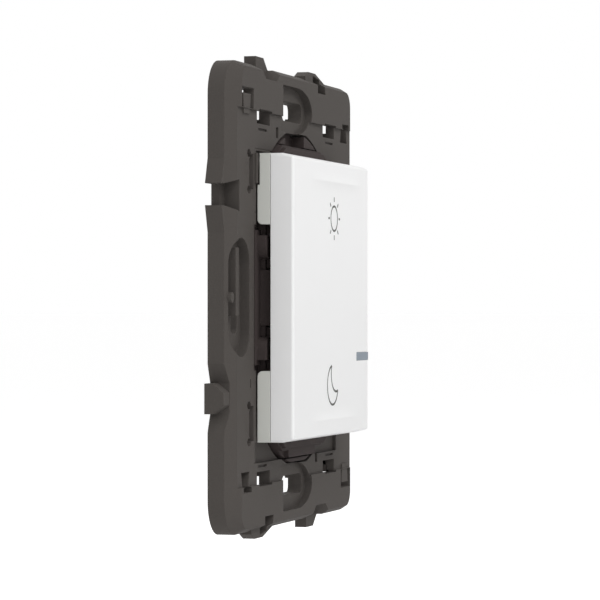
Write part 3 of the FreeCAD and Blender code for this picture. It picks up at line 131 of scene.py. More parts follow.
class MetalFinishes(bpy.types.PropertyGroup):
    cell_colour: colour_property("Cell", "Nickel plated steel of the coin cell", (206, 205, 200))
    contact_colour: colour_property("Contacts", "Tin plated bronze of the springs", (214, 205, 182))
    screw_colour: colour_property("Screws", "Zinc plated steel of the screws", (198, 200, 202))
    brushed_size: length_property("Brush lines", "Width of the drawn lines in the metal", 0.00006,
                                  min=0.00001, max=0.001)
    metal_roughness: share_property("Metal roughness", "Roughness of the plated metals", 0.28)
    screw_roughness: share_property("Screw roughness", "Roughness of the screws", 0.33)
    plated_edge: length_property("Plated edge", "Radius with which metal edges catch the light",
                                 0.00005, min=0.0, max=0.001)


class BoardFinishes(bpy.types.PropertyGroup):
    mask_colour: colour_property("Solder mask", "Green of the circuit board", (26, 86, 58))
    track_colour: colour_property("Tracks", "Copper under the solder mask", (52, 124, 84))
    resin_colour: colour_property("Chip resin", "Black of the chips and switch bodies", (34, 34, 36))
    led_colour: colour_property("Indicator resin", "Milky resin of the indicator", (226, 222, 196))
    track_pitch: length_property("Track pitch", "Spacing of the tracks", 0.0011, min=0.0003, max=0.005)
    track_width: length_property("Track width", "Width of the tracks", 0.000176, min=0.00005, max=0.002)
    resin_grain: length_property("Resin grain", "Size of the grain on the chips", 0.00012,
                                 min=0.00002, max=0.001)
    resin_edge: length_property("Resin edge", "Radius with which resin edges catch the light",
                                0.00009, min=0.0, max=0.001)
    resin_roughness: share_property("Resin roughness", "Roughness of the chips and switch bodies", 0.45)
    led_roughness: share_property("Indicator roughness", "Roughness of the indicator resin", 0.2)
    led_clearness: share_property("Indicator clearness", "How much light passes the indicator resin", 0.3)


class SignPrint(bpy.types.PropertyGroup):
    ink_colour: colour_property("Ink", "Dark grey of the printed signs", (52, 51, 46))
    ink_thickness: length_property("Ink thickness", "How far the ink stands off the key",
                                   0.000012, min=0.000001, max=0.0001)
    line_width: length_property("Line width", "Width of the printed lines", 0.00034,
                                min=0.0001, max=0.001)
    sun_place: spot_property("Sun place", "Middle of the sun, across and up", (0.00095, 0.01283))
    sun_diameter: length_property("Sun ring", "Outer diameter of the sun's ring", 0.0043,
                                  min=0.001, max=0.01)
    ray_near: length_property("Ray start", "Where each ray starts, from the sun's middle", 0.00268,
                              min=0.001, max=0.01)
    ray_far: length_property("Ray end", "Where each ray ends, from the sun's middle", 0.00344,
                             min=0.001, max=0.01)
    ray_count: IntProperty(name="Rays", description="Number of rays", min=4, max=16, default=8)
    moon_place: spot_property("Moon place", "Middle of the moon, across and up", (0.00008, -0.01393))
    moon_radius: length_property("Moon radius", "Radius of the moon's outer line", 0.00315,
                                 min=0.001, max=0.01)
    bite_place: spot_property("Hollow place", "Middle of the moon's hollow side, across and up",
                              (0.0021, -0.0121))
    bite_radius: length_property("Hollow radius", "Radius of the moon's inner line", 0.00291,
                                 min=0.001, max=0.01)
    ring_steps: IntProperty(name="Ring steps", description="Straight pieces that the sun's ring has",
                            min=12, max=256, default=72)
    arc_steps: IntProperty(name="Arc steps", description="Straight pieces that each of the moon's arcs has",
                           min=12, max=256, default=56)


class FrameTrim(bpy.types.PropertyGroup):
    plate_level: length_property("Plate level", "How far the plate's face beside the key is off the wall",
                                 0.0037, min=0.001, max=0.01)
    relief_floor: length_property("Relief floor", "Level of the lowered floor round the key", 0.0031,
                                  min=0.001, max=0.01)
    relief_half_width: length_property("Relief half width", "From the middle to the relief's side",
                                       0.0234, min=0.01, max=0.03)
    relief_top: length_property("Relief top", "From the middle to the relief's upper end", 0.023,
                                min=0.01, max=0.03)
    skirt_clearance: length_property("Skirt clearance", "Gap between the lips and the key's skirts",
                                     0.0003, min=0.0001, max=0.001)
    opening_radius: length_property("Opening radius", "Radius that cuts the opening's corners", 0.027,
                                    min=0.02, max=0.03)
    opening_half_width: length_property("Opening half width", "From the middle to the opening's side",
                                        0.0237, min=0.01, max=0.03)
    flange_level: length_property("Flange level", "Level of the module's flange under the lips' ends",
                                  0.0033, min=0.001, max=0.01)
    lip_start: length_property("Lip start", "Height at which the side lips start, up and down", 0.0131,
                               min=0.005, max=0.02)
    lip_end: length_property("Lip end", "Height to which the lips reach over the module's flange",
                             0.0112, min=0.005, max=0.02)
    rim_start: length_property("Rim start", "Height from which the upper side lips are raised", 0.0176,
                               min=0.005, max=0.02)
    rim_level: length_property("Rim level", "Level of the raised part of the side lips", 0.00405,
                               min=0.001, max=0.01)
    web_place: length_property("Web place", "Side of the window that the web closes", 0.0222,
                               min=0.0, max=0.03)
    web_thickness: length_property("Web thickness", "Thickness of the web", 0.0007, min=0.0002,
                                   max=0.003)
    web_low: length_property("Web low", "From the middle down to the web's lower end", 0.0291,
                             min=0.02, max=0.035)
    web_high: length_property("Web high", "From the middle down to the web's upper end", 0.0269,
                              min=0.02, max=0.035)
    web_level: length_property("Web level", "How far the web reaches up to the plate's skin", 0.0023,
                               min=0.0005, max=0.004)
    web_step: length_property("Web step", "How much higher the web reaches under the band", 0.0006,
                              min=0.0, max=0.002)
    band_place: length_property("Band place", "From the middle down to the plate's raised band", 0.0288,
                                min=0.02, max=0.035)
    edge_bevel: length_property("Trim edge", "Bevel on the trim's front edges", 0.00008, min=0.0,
                                max=0.0005)


class StudioSettings(bpy.types.PropertyGroup):
    floor_level: length_property("Floor level", "Height of the floor", -0.1, max=-0.038)
    floor_side: length_property("Floor side", "Side of the square floor", 400.0, min=1.0)
    world_strength: FloatProperty(name="World light", description="Plain light from all round",
                                  min=0.0, default=0.45)
    front_power: FloatProperty(name="Front lamp", description="Power of the soft front lamp",
                               unit="POWER", min=0.0, default=7.0)
    side_power: FloatProperty(name="Side lamp", description="Power of the soft side lamp",
                              unit="POWER", min=0.0, default=1.15)
    back_power: FloatProperty(name="Back lamp", description="Power of the soft lamp behind the object",
                              unit="POWER", min=0.0, default=6.0)
    front_place: place_property("Front lamp place", "Where the front lamp stands", (-0.35, -0.7, 0.85))
    side_place: place_property("Side lamp place", "Where the side lamp stands", (-0.95, -0.28, 0.1))
    back_place: place_property("Back lamp place", "Where the back lamp stands", (0.3, 0.9, 0.55))
    lamp_side: length_property("Lamp side", "Side of the square lamps", 0.7, min=0.05)
    floor_lift: FloatProperty(name="Floor lift", description="Glow that brings the seen floor near white",
                              min=0.0, default=0.56)
    camera_place: place_property("Camera place", "Where the camera stands", (-0.4578, -0.1365, -0.0022))
    camera_turn: FloatProperty(name="Camera turn", description="Turn of the view from the wall's line",
                               subtype="ANGLE", default=radians(16.12))
    camera_rise: FloatProperty(name="Camera rise", description="Upward tilt of the view",
                               subtype="ANGLE", default=radians(0.233))
    camera_lens: FloatProperty(name="Lens", description="Focal length on a 36 mm wide sensor, in mm",
                               min=1.0, default=177.3)


def new_group(name, inputs, outputs):
    """Shader group with the named inputs (name, kind, value) and outputs (name, kind)."""
    group = bpy.data.node_groups.new(name, "ShaderNodeTree")
    for label, kind, value in inputs:
        socket = group.interface.new_socket(label, in_out="INPUT", socket_type="NodeSocket" + kind)
        socket.default_value = value
    for label, kind in outputs:
        group.interface.new_socket(label, in_out="OUTPUT", socket_type="NodeSocket" + kind)
    return group, group.nodes.new("NodeGroupInput").outputs, group.nodes.new("NodeGroupOutput").inputs


def put(tree, kind, sources=(), **settings):
    """New node of a shader tree; sources are (input, socket or value) pairs."""
    node = tree.nodes.new("ShaderNode" + kind)
    for name, value in settings.items():
        setattr(node, name, value)
    for place, source in dict(sources).items():
        if isinstance(source, bpy.types.NodeSocket):
            tree.links.new(source, node.inputs[place])
        else:
            node.inputs[place].default_value = source
    return node


def arithmetic(tree, operation, first, second, clamp=False):
    return put(tree, "Math", {0: first, 1: second}, operation=operation, use_clamp=clamp).outputs[0]


def spread(tree, source, low, high):
    """Maps a value from 0 to 1 to one from low to high."""
    return put(tree, "MapRange", {"Value": source, "To Min": low, "To Max": high}).outputs[0]


def blended(tree, share, first, second, mode="MIX"):
    mix = put(tree, "Mix", data_type="RGBA", blend_type=mode)
    for place, source in ((0, share), (6, first), (7, second)):
        if isinstance(source, bpy.types.NodeSocket):
            tree.links.new(source, mix.inputs[place])
        else:
            mix.inputs[place].default_value = source
    return mix.outputs[2]


def scale_of(tree, size):
    """Noise scale whose features have that size."""
    return arithmetic(tree, "DIVIDE", 1.0, size)


def mould_skin_group():
    """Moulded plastic: eroded grain, slow flow marks in the colour and a roughness that varies."""
    group, given, made = new_group(
        "mould_skin",
        [("Colour", "Color", (0.1, 0.1, 0.1, 1)), ("Grain Size", "Float", 0.0003),
         ("Roughness", "Float", 0.5), ("Mottle", "Float", 0.06), ("Flow Size", "Float", 0.018)],
        [("Colour", "Color"), ("Roughness", "Float"), ("Height", "Float")])
    place = put(group, "TexCoord").outputs["Object"]
    fine = scale_of(group, given["Grain Size"])
    grain = put(group, "TexNoise", {"Vector": place, "Scale": fine, "Detail": 2.0,
                                    "Roughness": 0.55}).outputs["Fac"]
    pits = put(group, "TexVoronoi", {"Vector": place, "Scale": fine, "Smoothness": 0.6},
               feature="SMOOTH_F1").outputs["Distance"]
    flow = put(group, "TexNoise", {"Vector": place, "Scale": scale_of(group, given["Flow Size"]),
                                   "Detail": 4.0, "Distortion": 0.8}).outputs["Fac"]
    shade = arithmetic(group, "ADD", arithmetic(group, "MULTIPLY", flow, 0.7),
                       arithmetic(group, "MULTIPLY", grain, 0.3))
    swing = arithmetic(group, "MULTIPLY", arithmetic(group, "SUBTRACT", shade, 0.5), given["Mottle"])
    tone = arithmetic(group, "ADD", 1.0, arithmetic(group, "MULTIPLY", swing, 2.0))
    grey = put(group, "CombineColor", {0: tone, 1: tone, 2: tone}).outputs[0]
    group.links.new(blended(group, 1.0, given["Colour"], grey, "MULTIPLY"), made["Colour"])
    group.links.new(arithmetic(group, "ADD", given["Roughness"],
                               arithmetic(group, "MULTIPLY", swing, 1.2), clamp=True),
                    made["Roughness"])
    group.links.new(arithmetic(group, "ADD", grain, arithmetic(group, "MULTIPLY", pits, 0.5)),
                    made["Height"])
    return group


def painted_edge_highlight_group():
    """Where a moulded edge is, from 0 to 1, a little broken up, as the share of a painted edge highlight,
    and the normal that rounds it.
    """
    group, given, made = new_group(
        "painted_edge_highlight", [("Radius", "Float", 0.0001), ("Break Size", "Float", 0.0009)],
        [("Edge", "Float"), ("Normal", "Vector")])
    rounded = put(group, "Bevel", {"Radius": given["Radius"]}, samples=6).outputs[0]
    flat = put(group, "NewGeometry").outputs["Normal"]
    match = put(group, "VectorMath", {0: rounded, 1: flat}, operation="DOT_PRODUCT").outputs["Value"]
    turned = arithmetic(group, "MULTIPLY", arithmetic(group, "SUBTRACT", 1.0, match), 4.0, clamp=True)
    place = put(group, "TexCoord").outputs["Object"]
    broken = put(group, "TexNoise", {"Vector": place, "Scale": scale_of(group, given["Break Size"]),
                                     "Detail": 3.0}).outputs["Fac"]
    group.links.new(arithmetic(group, "MULTIPLY", turned, spread(group, broken, 0.3, 1.0)),
                    made["Edge"])
    group.links.new(rounded, made["Normal"])
    return group


def plated_lines_group():
    """Drawn or turned metal: fine lines along X, or round the Y axis where Turned is 1."""
    group, given, made = new_group(
        "plated_lines",
        [("Colour", "Color", (0.6, 0.6, 0.6, 1)), ("Line Size", "Float", 0.0001),
         ("Turned", "Float", 0.0), ("Roughness", "Float", 0.3)],
        [("Colour", "Color"), ("Roughness", "Float"), ("Height", "Float")])
    place = put(group, "TexCoord").outputs["Object"]
    parts = put(group, "SeparateXYZ", {0: place}).outputs
    out = put(group, "CombineXYZ", {0: parts[0], 1: 0.0, 2: parts[2]}).outputs[0]
    radius = put(group, "VectorMath", {0: out}, operation="LENGTH").outputs["Value"]
    ringed = put(group, "CombineXYZ", {0: radius, 1: parts[1], 2: 0.0}).outputs[0]
    drawn = put(group, "VectorMath", {0: place, 1: (0.03, 1.0, 1.0)}, operation="MULTIPLY").outputs[0]
    along = put(group, "Mix", data_type="VECTOR")
    for socket, source in ((0, given["Turned"]), (4, drawn), (5, ringed)):
        group.links.new(source, along.inputs[socket])
    lines = put(group, "TexNoise", {"Vector": along.outputs[1],
                                    "Scale": scale_of(group, given["Line Size"]),
                                    "Detail": 3.0}).outputs["Fac"]
    stain = put(group, "TexNoise", {"Vector": place, "Scale": STAIN_SCALE, "Detail": 4.0}).outputs["Fac"]
    worn = arithmetic(group, "MULTIPLY", lines, spread(group, stain, 0.75, 1.0))
    tone = spread(group, worn, 0.86, 1.08)
    grey = put(group, "CombineColor", {0: tone, 1: tone, 2: tone}).outputs[0]
    group.links.new(blended(group, 1.0, given["Colour"], grey, "MULTIPLY"), made["Colour"])
    group.links.new(arithmetic(group, "ADD", given["Roughness"], spread(group, worn, -0.08, 0.12),
                               clamp=True), made["Roughness"])
    group.links.new(lines, made["Height"])
    return group


def group_named(name, builder):
    return bpy.data.node_groups.get(name) or builder()


def placed_group(tree, group, sources):
    node = tree.nodes.new("ShaderNodeGroup")
    node.node_tree = group
    for name, source in sources.items():
        node.inputs[name].default_value = source
    return node.outputs


def new_finish(name):
    finish = bpy.data.materials.new(name)
    finish.use_nodes = True
    tree = finish.node_tree
    return finish, tree, tree.nodes["Principled BSDF"].inputs


def moulded(name, colour, grain, roughness, edge, *, relief=0.25, mottle=0.06, highlight_strength=0.25,
            specular=0.5):
    """Moulded plastic with rounded edges, whose colour is lightened there as a painted highlight."""
    finish, tree, shader = new_finish(name)
    skin = placed_group(tree, group_named("mould_skin", mould_skin_group),
                        {"Colour": colour, "Grain Size": grain, "Roughness": roughness,
                         "Mottle": mottle})
    edge_round_and_highlight = placed_group(tree, group_named("painted_edge_highlight", painted_edge_highlight_group), {"Radius": edge})
    # Painted highlight: the base colour is lightened along the moulded edges, broken up by noise
    lighter = blended(tree, 1.0, skin["Colour"], (1.35, 1.35, 1.35, 1.0), "MULTIPLY")
    share = arithmetic(tree, "MULTIPLY", edge_round_and_highlight["Edge"], highlight_strength)
    tree.links.new(blended(tree, share, skin["Colour"], lighter), shader["Base Color"])
    tree.links.new(skin["Roughness"], shader["Roughness"])
    bump = put(tree, "Bump", {"Strength": relief, "Distance": grain * 0.25,
                              "Height": skin["Height"], "Normal": edge_round_and_highlight["Normal"]})
    tree.links.new(bump.outputs[0], shader["Normal"])
    shader["Specular IOR Level"].default_value = specular
    return finish


def plated(name, colour, line, roughness, edge, turned=0.0):
    """Plated metal with drawn or turned lines."""
    finish, tree, shader = new_finish(name)
    lines = placed_group(tree, group_named("plated_lines", plated_lines_group),
                         {"Colour": colour, "Line Size": line, "Turned": turned,
                          "Roughness": roughness})
    edge_round_and_highlight = placed_group(tree, group_named("painted_edge_highlight", painted_edge_highlight_group), {"Radius": edge})
    tree.links.new(lines["Colour"], shader["Base Color"])
    tree.links.new(lines["Roughness"], shader["Roughness"])
    bump = put(tree, "Bump", {"Strength": 0.12, "Distance": line, "Height": lines["Height"],
                              "Normal": edge_round_and_highlight["Normal"]})
    tree.links.new(bump.outputs[0], shader["Normal"])
    shader["Metallic"].default_value = 1.0
    return finish


def laminate(name, mask, track, pitch, width):
    """Circuit board: solder mask over copper tracks that run level, with short upright ones between."""
    finish, tree, shader = new_finish(name)
    place = put(tree, "TexCoord").outputs["Object"]
    turned = put(tree, "Mapping", {"Vector": place, "Rotation": (pi / 2, 0.0, 0.0)}).outputs[0]
    tracks = put(tree, "TexBrick", {"Vector": turned, "Scale": 1.0, "Mortar Size": width,
                                    "Mortar Smooth": 0.1, "Brick Width": pitch * BRICK_PITCHES,
                                    "Row Height": pitch, "Color1": (0, 0, 0, 1),
                                    "Color2": (0, 0, 0, 1), "Mortar": (1, 1, 1, 1)})
    weave = put(tree, "TexNoise", {"Vector": place, "Scale": WEAVE_SCALE,
                                   "Detail": 2.0}).outputs["Fac"]
    tree.links.new(blended(tree, tracks.outputs["Fac"], mask, track), shader["Base Color"])
    tree.links.new(spread(tree, weave, 0.24, 0.4), shader["Roughness"])
    height = arithmetic(tree, "ADD", tracks.outputs["Fac"], arithmetic(tree, "MULTIPLY", weave, 0.2))
    bump = put(tree, "Bump", {"Strength": 0.4, "Distance": TRACK_RELIEF, "Height": height})
    tree.links.new(bump.outputs[0], shader["Normal"])
    return finish


def milky(name, colour, roughness, clear, edge):
    """Milky light guide resin: a fine haze in it and soft edges."""
    finish, tree, shader = new_finish(name)
    skin = placed_group(tree, group_named("mould_skin", mould_skin_group),
                        {"Colour": colour, "Grain Size": HAZE_SIZE, "Roughness": roughness,
                         "Mottle": 0.05, "Flow Size": HAZE_FLOW})
    edge_round_and_highlight = placed_group(tree, group_named("painted_edge_highlight", painted_edge_highlight_group), {"Radius": edge})
    tree.links.new(skin["Colour"], shader["Base Color"])
    tree.links.new(skin["Roughness"], shader["Roughness"])
    bump = put(tree, "Bump", {"Strength": 0.1, "Distance": HAZE_RELIEF, "Height": skin["Height"],
                              "Normal": edge_round_and_highlight["Normal"]})
    tree.links.new(bump.outputs[0], shader["Normal"])
    shader["IOR"].default_value = RESIN_IOR
    shader["Transmission Weight"].default_value = clear
    return finish


def dress(finish, *names):
    """Gives the named CAD nodes one finish."""
    for name in names:
        node = NODES[name]
        if not node.material_slots:
            node.data.materials.append(finish)
        for slot in node.material_slots:
            slot.material = finish


class WALLSWITCH_OT_support_frame(bpy.types.Operator):
    """Finish the moulded support frame"""
    bl_idname = "wall_switch.support_frame"
    bl_label = "Support Frame"

    def execute(self, context):
        given = context.scene.switch_plastics
        dress(moulded("frame_plastic", given.frame_colour, given.spark_size, given.dark_roughness,
                      given.edge_radius, specular=given.dark_gloss), "support_frame")
        return {"FINISHED"}


def add_piece(context, name, sheet, finish):
    """Scene object of that name with the sheet as its mesh and one finish."""
    mesh = bpy.data.meshes.new(name)
    sheet.to_mesh(mesh)
    sheet.free()
    mesh.materials.append(finish)
    piece = bpy.data.objects.new(name, mesh)
    context.scene.collection.objects.link(piece)
    return piece


def add_prism(sheet, outline, back, front, bevel):
    """Solid between two levels off the wall, with an outline across and up and eased front edges."""
    start = [sheet.verts.new((across, -back, up)) for across, up in outline]
    foot = sheet.faces.new(start)
    raised = bmesh.ops.extrude_face_region(sheet, geom=[foot], use_keep_orig=True)["geom"]
    tops = [part for part in raised if isinstance(part, bmesh.types.BMVert)]
    bmesh.ops.translate(sheet, verts=tops, vec=(0.0, back - front, 0.0))
    rims = [part for part in raised if isinstance(part, bmesh.types.BMEdge)]
    bmesh.ops.bevel(sheet, geom=rims, offset=bevel, segments=2, profile=0.5, affect="EDGES",
                    material=-1)
    bmesh.ops.recalc_face_normals(sheet, faces=sheet.faces)


def box_outline(left, right, low, high):
    return (left, low), (right, low), (right, high), (left, high)


class WALLSWITCH_OT_frame_trim(bpy.types.Operator):
    """Add the lips that narrow the relief beside the key's skirts, and the web in one window"""
    bl_idname = "wall_switch.frame_trim"
    bl_label = "Frame Trim"

    def execute(self, context):
        given = context.scene.switch_trim
        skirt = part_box("rocker_carrier")[1]
        outside, top = given.relief_half_width, given.relief_top
        inside, under = skirt.x + given.skirt_clearance, skirt.z + given.skirt_clearance
        inner_end = (given.opening_radius ** 2 - under ** 2) ** 0.5 + given.skirt_clearance
        upper = ((outside, given.lip_start), (outside, top), (inner_end, top), (inner_end, under),
                 (inside, under), (inside, given.lip_start))
        lower = box_outline(inside, outside, -skirt.z, -given.lip_start)
        rim = box_outline(inside, outside, given.rim_start, skirt.z)
        sheet = bmesh.new()
        for hand in (1, -1):
            for outline, back, front in ((upper, given.relief_floor, given.plate_level),
                                         (rim, given.plate_level, given.rim_level),
                                         (lower, given.relief_floor, given.plate_level)):
                add_prism(sheet, [(hand * across, up) for across, up in outline], back, front,
                          given.edge_bevel)
            for side in (1, -1):
                end = box_outline(hand * inside, hand * given.opening_half_width,
                                  side * given.lip_end, side * given.lip_start)
                add_prism(sheet, end, given.flange_level, given.plate_level, given.edge_bevel)
        web_end = given.web_place + given.web_thickness
        for high, low, level in ((given.web_high, given.band_place, given.web_level),
                                 (given.band_place, given.web_low, given.web_level + given.web_step)):
            add_prism(sheet, box_outline(given.web_place, web_end, -low, -high), 0.0, level,
                      given.edge_bevel)
        finish = NODES["support_frame"].material_slots[0].material
        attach(add_piece(context, "frame_trim", sheet, finish), BASE)
        return {"FINISHED"}


class WALLSWITCH_OT_radio_module(bpy.types.Operator):
    """Finish the radio module's base, cover and battery door"""
    bl_idname = "wall_switch.radio_module"
    bl_label = "Radio Module"

    def execute(self, context):
        given = context.scene.switch_plastics
        dress(moulded("module_plastic", given.module_colour, given.spark_size,
                      given.dark_roughness, given.edge_radius, specular=given.dark_gloss),
              "module_base", "module_cover")
        dress(moulded("door_plastic", given.door_colour, given.spark_size, given.door_roughness,
                      given.edge_radius, specular=given.door_gloss), "battery_door")
        return {"FINISHED"}


class WALLSWITCH_OT_rocker(bpy.types.Operator):
    """Finish the white key, its grey carrier and the indicator bar"""
    bl_idname = "wall_switch.rocker"
    bl_label = "Rocker"

    def execute(self, context):
        given = context.scene.switch_plastics
        dress(moulded("key_plastic", given.key_colour, given.satin_size, given.key_roughness,
                      given.edge_radius, relief=0.06, mottle=0.012, highlight_strength=0.0), "rocker_key")
        dress(moulded("carrier_plastic", given.carrier_colour, given.satin_size,
                      given.carrier_roughness, given.edge_radius, relief=0.1, mottle=0.02, highlight_strength=0.0),
              "rocker_carrier")
        dress(milky("lens_plastic", given.lens_colour, given.lens_roughness, given.lens_clearness,
                    given.edge_radius), "indicator_lens")
        dress(moulded("plunger_plastic", given.plunger_colour, given.satin_size,
                      given.plunger_roughness, given.edge_radius, relief=0.1, mottle=0.03, highlight_strength=0.0),
              "upper_switch_plunger", "lower_switch_plunger")
        return {"FINISHED"}


class WALLSWITCH_OT_metals(bpy.types.Operator):
    """Finish the coin cell, the contact springs, the antenna and the screws"""
    bl_idname = "wall_switch.metals"
    bl_label = "Metals"

    def execute(self, context):
        given = context.scene.switch_metals
        line, edge = given.brushed_size, given.plated_edge
        dress(plated("cell_steel", given.cell_colour, line, given.metal_roughness, edge, turned=1.0),
              "coin_cell")
        dress(plated("can_steel", given.cell_colour, line, given.metal_roughness, edge), "crystal")
        dress(plated("contact_metal", given.contact_colour, line, given.metal_roughness, edge),
              "positive_contact", "negative_contact", "antenna")
        dress(plated("screw_steel", given.screw_colour, line, given.screw_roughness, edge),
              "board_screws")
        return {"FINISHED"}


class WALLSWITCH_OT_electronics(bpy.types.Operator):
    """Finish the circuit board and what is soldered on it"""
    bl_idname = "wall_switch.electronics"
    bl_label = "Electronics"

    def execute(self, context):
        given = context.scene.switch_board
        dress(laminate("board_laminate", given.mask_colour, given.track_colour, given.track_pitch,
                       given.track_width), "circuit_board")
        dress(moulded("chip_resin", given.resin_colour, given.resin_grain, given.resin_roughness,
                      given.resin_edge, relief=0.2, mottle=0.08),
              "radio_chip", "board_parts", "upper_switch_body", "lower_switch_body")
        dress(milky("led_resin", given.led_colour, given.led_roughness, given.led_clearness,
                    given.resin_edge), "indicator_led")
        return {"FINISHED"}


def ink_finish(colour):
    """Matt screen-printed ink with slightly uneven density."""
    finish, tree, shader = new_finish("sign_ink")
    place = put(tree, "TexCoord").outputs["Object"]
    density = put(tree, "TexNoise", {"Vector": place, "Scale": INK_SCALE,
                                     "Detail": 3.0}).outputs["Fac"]
    thin = [part * 1.3 for part in colour[:3]] + [1.0]
    tree.links.new(blended(tree, density, colour, thin), shader["Base Color"])
    tree.links.new(spread(tree, density, 0.42, 0.58), shader["Roughness"])
    bump = put(tree, "Bump", {"Strength": 0.15, "Distance": INK_RELIEF, "Height": density})
    tree.links.new(bump.outputs[0], shader["Normal"])
    return finish


def arc_ribbon(sheet, centre, radius, width, start, sweep, steps):
    """Flat line of that width along an arc about the centre; angles run against the clock from +X."""
    direction = Vector((cos(start), 0.0, sin(start)))
    ends = [sheet.verts.new(centre + direction * (radius + side * width / 2)) for side in (-1, 1)]
    across = sheet.edges.new(ends)
    full = sweep >= 2 * pi
    bmesh.ops.spin(sheet, geom=ends + [across], cent=centre, axis=(0.0, -1.0, 0.0), angle=sweep,
                   steps=steps, use_merge=full)


def print_sign(context, name, sheet):
    """Thickens the flat sign to the ink's thickness, gives it its ink and lets it ride on the rocker."""
    given = context.scene.switch_signs
    bmesh.ops.remove_doubles(sheet, verts=sheet.verts, dist=WELD)
    bmesh.ops.recalc_face_normals(sheet, faces=sheet.faces)
    raised = bmesh.ops.extrude_face_region(sheet, geom=list(sheet.faces))["geom"]
    tops = [part for part in raised if isinstance(part, bmesh.types.BMVert)]
    bmesh.ops.translate(sheet, verts=tops, vec=(0.0, -given.ink_thickness, 0.0))
    bmesh.ops.recalc_face_normals(sheet, faces=sheet.faces)
    finish = bpy.data.materials.get("sign_ink") or ink_finish(given.ink_colour)
    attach(add_piece(context, name, sheet, finish), ROCKER)


def on_key(place):
    """Point on the key's front at that place across and up."""
    return Vector((place[0], KEY_FRONT, place[1]))


class WALLSWITCH_OT_sun_sign(bpy.types.Operator):
    """Print the sun, a ring with rays, on the key's upper half"""
    bl_idname = "wall_switch.sun_sign"
    bl_label = "Sun Sign"

    def execute(self, context):
        given = context.scene.switch_signs
        centre = on_key(given.sun_place)
        sheet = bmesh.new()
        arc_ribbon(sheet, centre, (given.sun_diameter - given.line_width) / 2, given.line_width,
                   0.0, 2 * pi, given.ring_steps)
        length = given.ray_far - given.ray_near
        for index in range(given.ray_count):
            turn = Matrix.Rotation(2 * pi * index / given.ray_count, 4, "Y")
            out = Matrix.Translation((given.ray_near + length / 2, 0.0, 0.0))
            size = Matrix.Diagonal((length, 1.0, given.line_width, 1.0))
            upright = Matrix.Rotation(pi / 2, 4, "X")
            bmesh.ops.create_grid(sheet, x_segments=1, y_segments=1, size=0.5,
                                  matrix=Matrix.Translation(centre) @ turn @ out @ size @ upright)
        print_sign(context, "sun_sign", sheet)
        return {"FINISHED"}


class WALLSWITCH_OT_moon_sign(bpy.types.Operator):
    """Print the moon, a crescent in outline, on the key's lower half"""
    bl_idname = "wall_switch.moon_sign"
    bl_label = "Moon Sign"

    def execute(self, context):
        given = context.scene.switch_signs
        centre, bite = on_key(given.moon_place), on_key(given.bite_place)
        apart = bite - centre
        distance = apart.length
        along = (distance ** 2 + given.moon_radius ** 2 - given.bite_radius ** 2) / (2 * distance)
        across = (given.moon_radius ** 2 - along ** 2) ** 0.5
        aside = Vector((apart.z, 0.0, -apart.x)) / distance
        tips = [centre + apart * (along / distance) + aside * (side * across) for side in (-1, 1)]
        sheet = bmesh.new()
        for middle, radius, longer in ((centre, given.moon_radius, True),
                                       (bite, given.bite_radius, False)):
            angles = [Vector((tip.x - middle.x, tip.z - middle.z)) for tip in tips]
            first, second = ((-Vector((1.0, 0.0)).angle_signed(way)) for way in angles)
            sweep = (second - first) % (2 * pi)
            if longer == (sweep > pi):
                start = first
            else:
                start, sweep = second, 2 * pi - sweep
            arc_ribbon(sheet, middle, radius, given.line_width, start, sweep, given.arc_steps)
        print_sign(context, "moon_sign", sheet)
        return {"FINISHED"}


def soft_lamp(context, name, place, power, side):
    """Square soft lamp that looks at the object."""
    lamp = bpy.data.lights.new(name, "AREA")
    lamp.energy = power
    lamp.size = side
    holder = bpy.data.objects.new(name, lamp)
    holder.location = place
    holder.rotation_euler = (-Vector(place)).to_track_quat("-Z", "Y").to_euler()
    context.scene.collection.objects.link(holder)


def seen_rays(tree):
    """1 for rays from the camera, a reflection or a clear material."""
    path = put(tree, "LightPath").outputs
    mirrored = arithmetic(tree, "MAXIMUM", path["Is Glossy Ray"], path["Is Transmission Ray"])
    return arithmetic(tree, "MAXIMUM", path["Is Camera Ray"], mirrored)


def plain_world(context, strength):
    """White world that lights at the given strength and shows white where it is seen."""
    world = bpy.data.worlds.new("studio_world")
    world.use_nodes = True
    tree = world.node_tree
    light = tree.nodes["Background"]
    light.inputs["Color"].default_value = WHITE
    light.inputs["Strength"].default_value = strength
    shown = put(tree, "Background", {"Color": WHITE, "Strength": 1.0})
    mix = put(tree, "MixShader", {0: seen_rays(tree), 1: light.outputs[0], 2: shown.outputs[0]})
    tree.links.new(mix.outputs[0], tree.nodes["World Output"].inputs["Surface"])
    context.scene.world = world


def floor_finish(lift):
    """Pale floor that a glow for the camera's rays brings near white, and that keeps the shadow."""
    finish, tree, shader = new_finish("studio_floor")
    shader["Base Color"].default_value = (0.9, 0.9, 0.9, 1.0)
    shader["Roughness"].default_value = 0.9
    shader["Specular IOR Level"].default_value = 0.1
    shader["Emission Color"].default_value = WHITE
    seen = put(tree, "LightPath").outputs["Is Camera Ray"]
    tree.links.new(arithmetic(tree, "MULTIPLY", seen, lift), shader["Emission Strength"])
    return finish


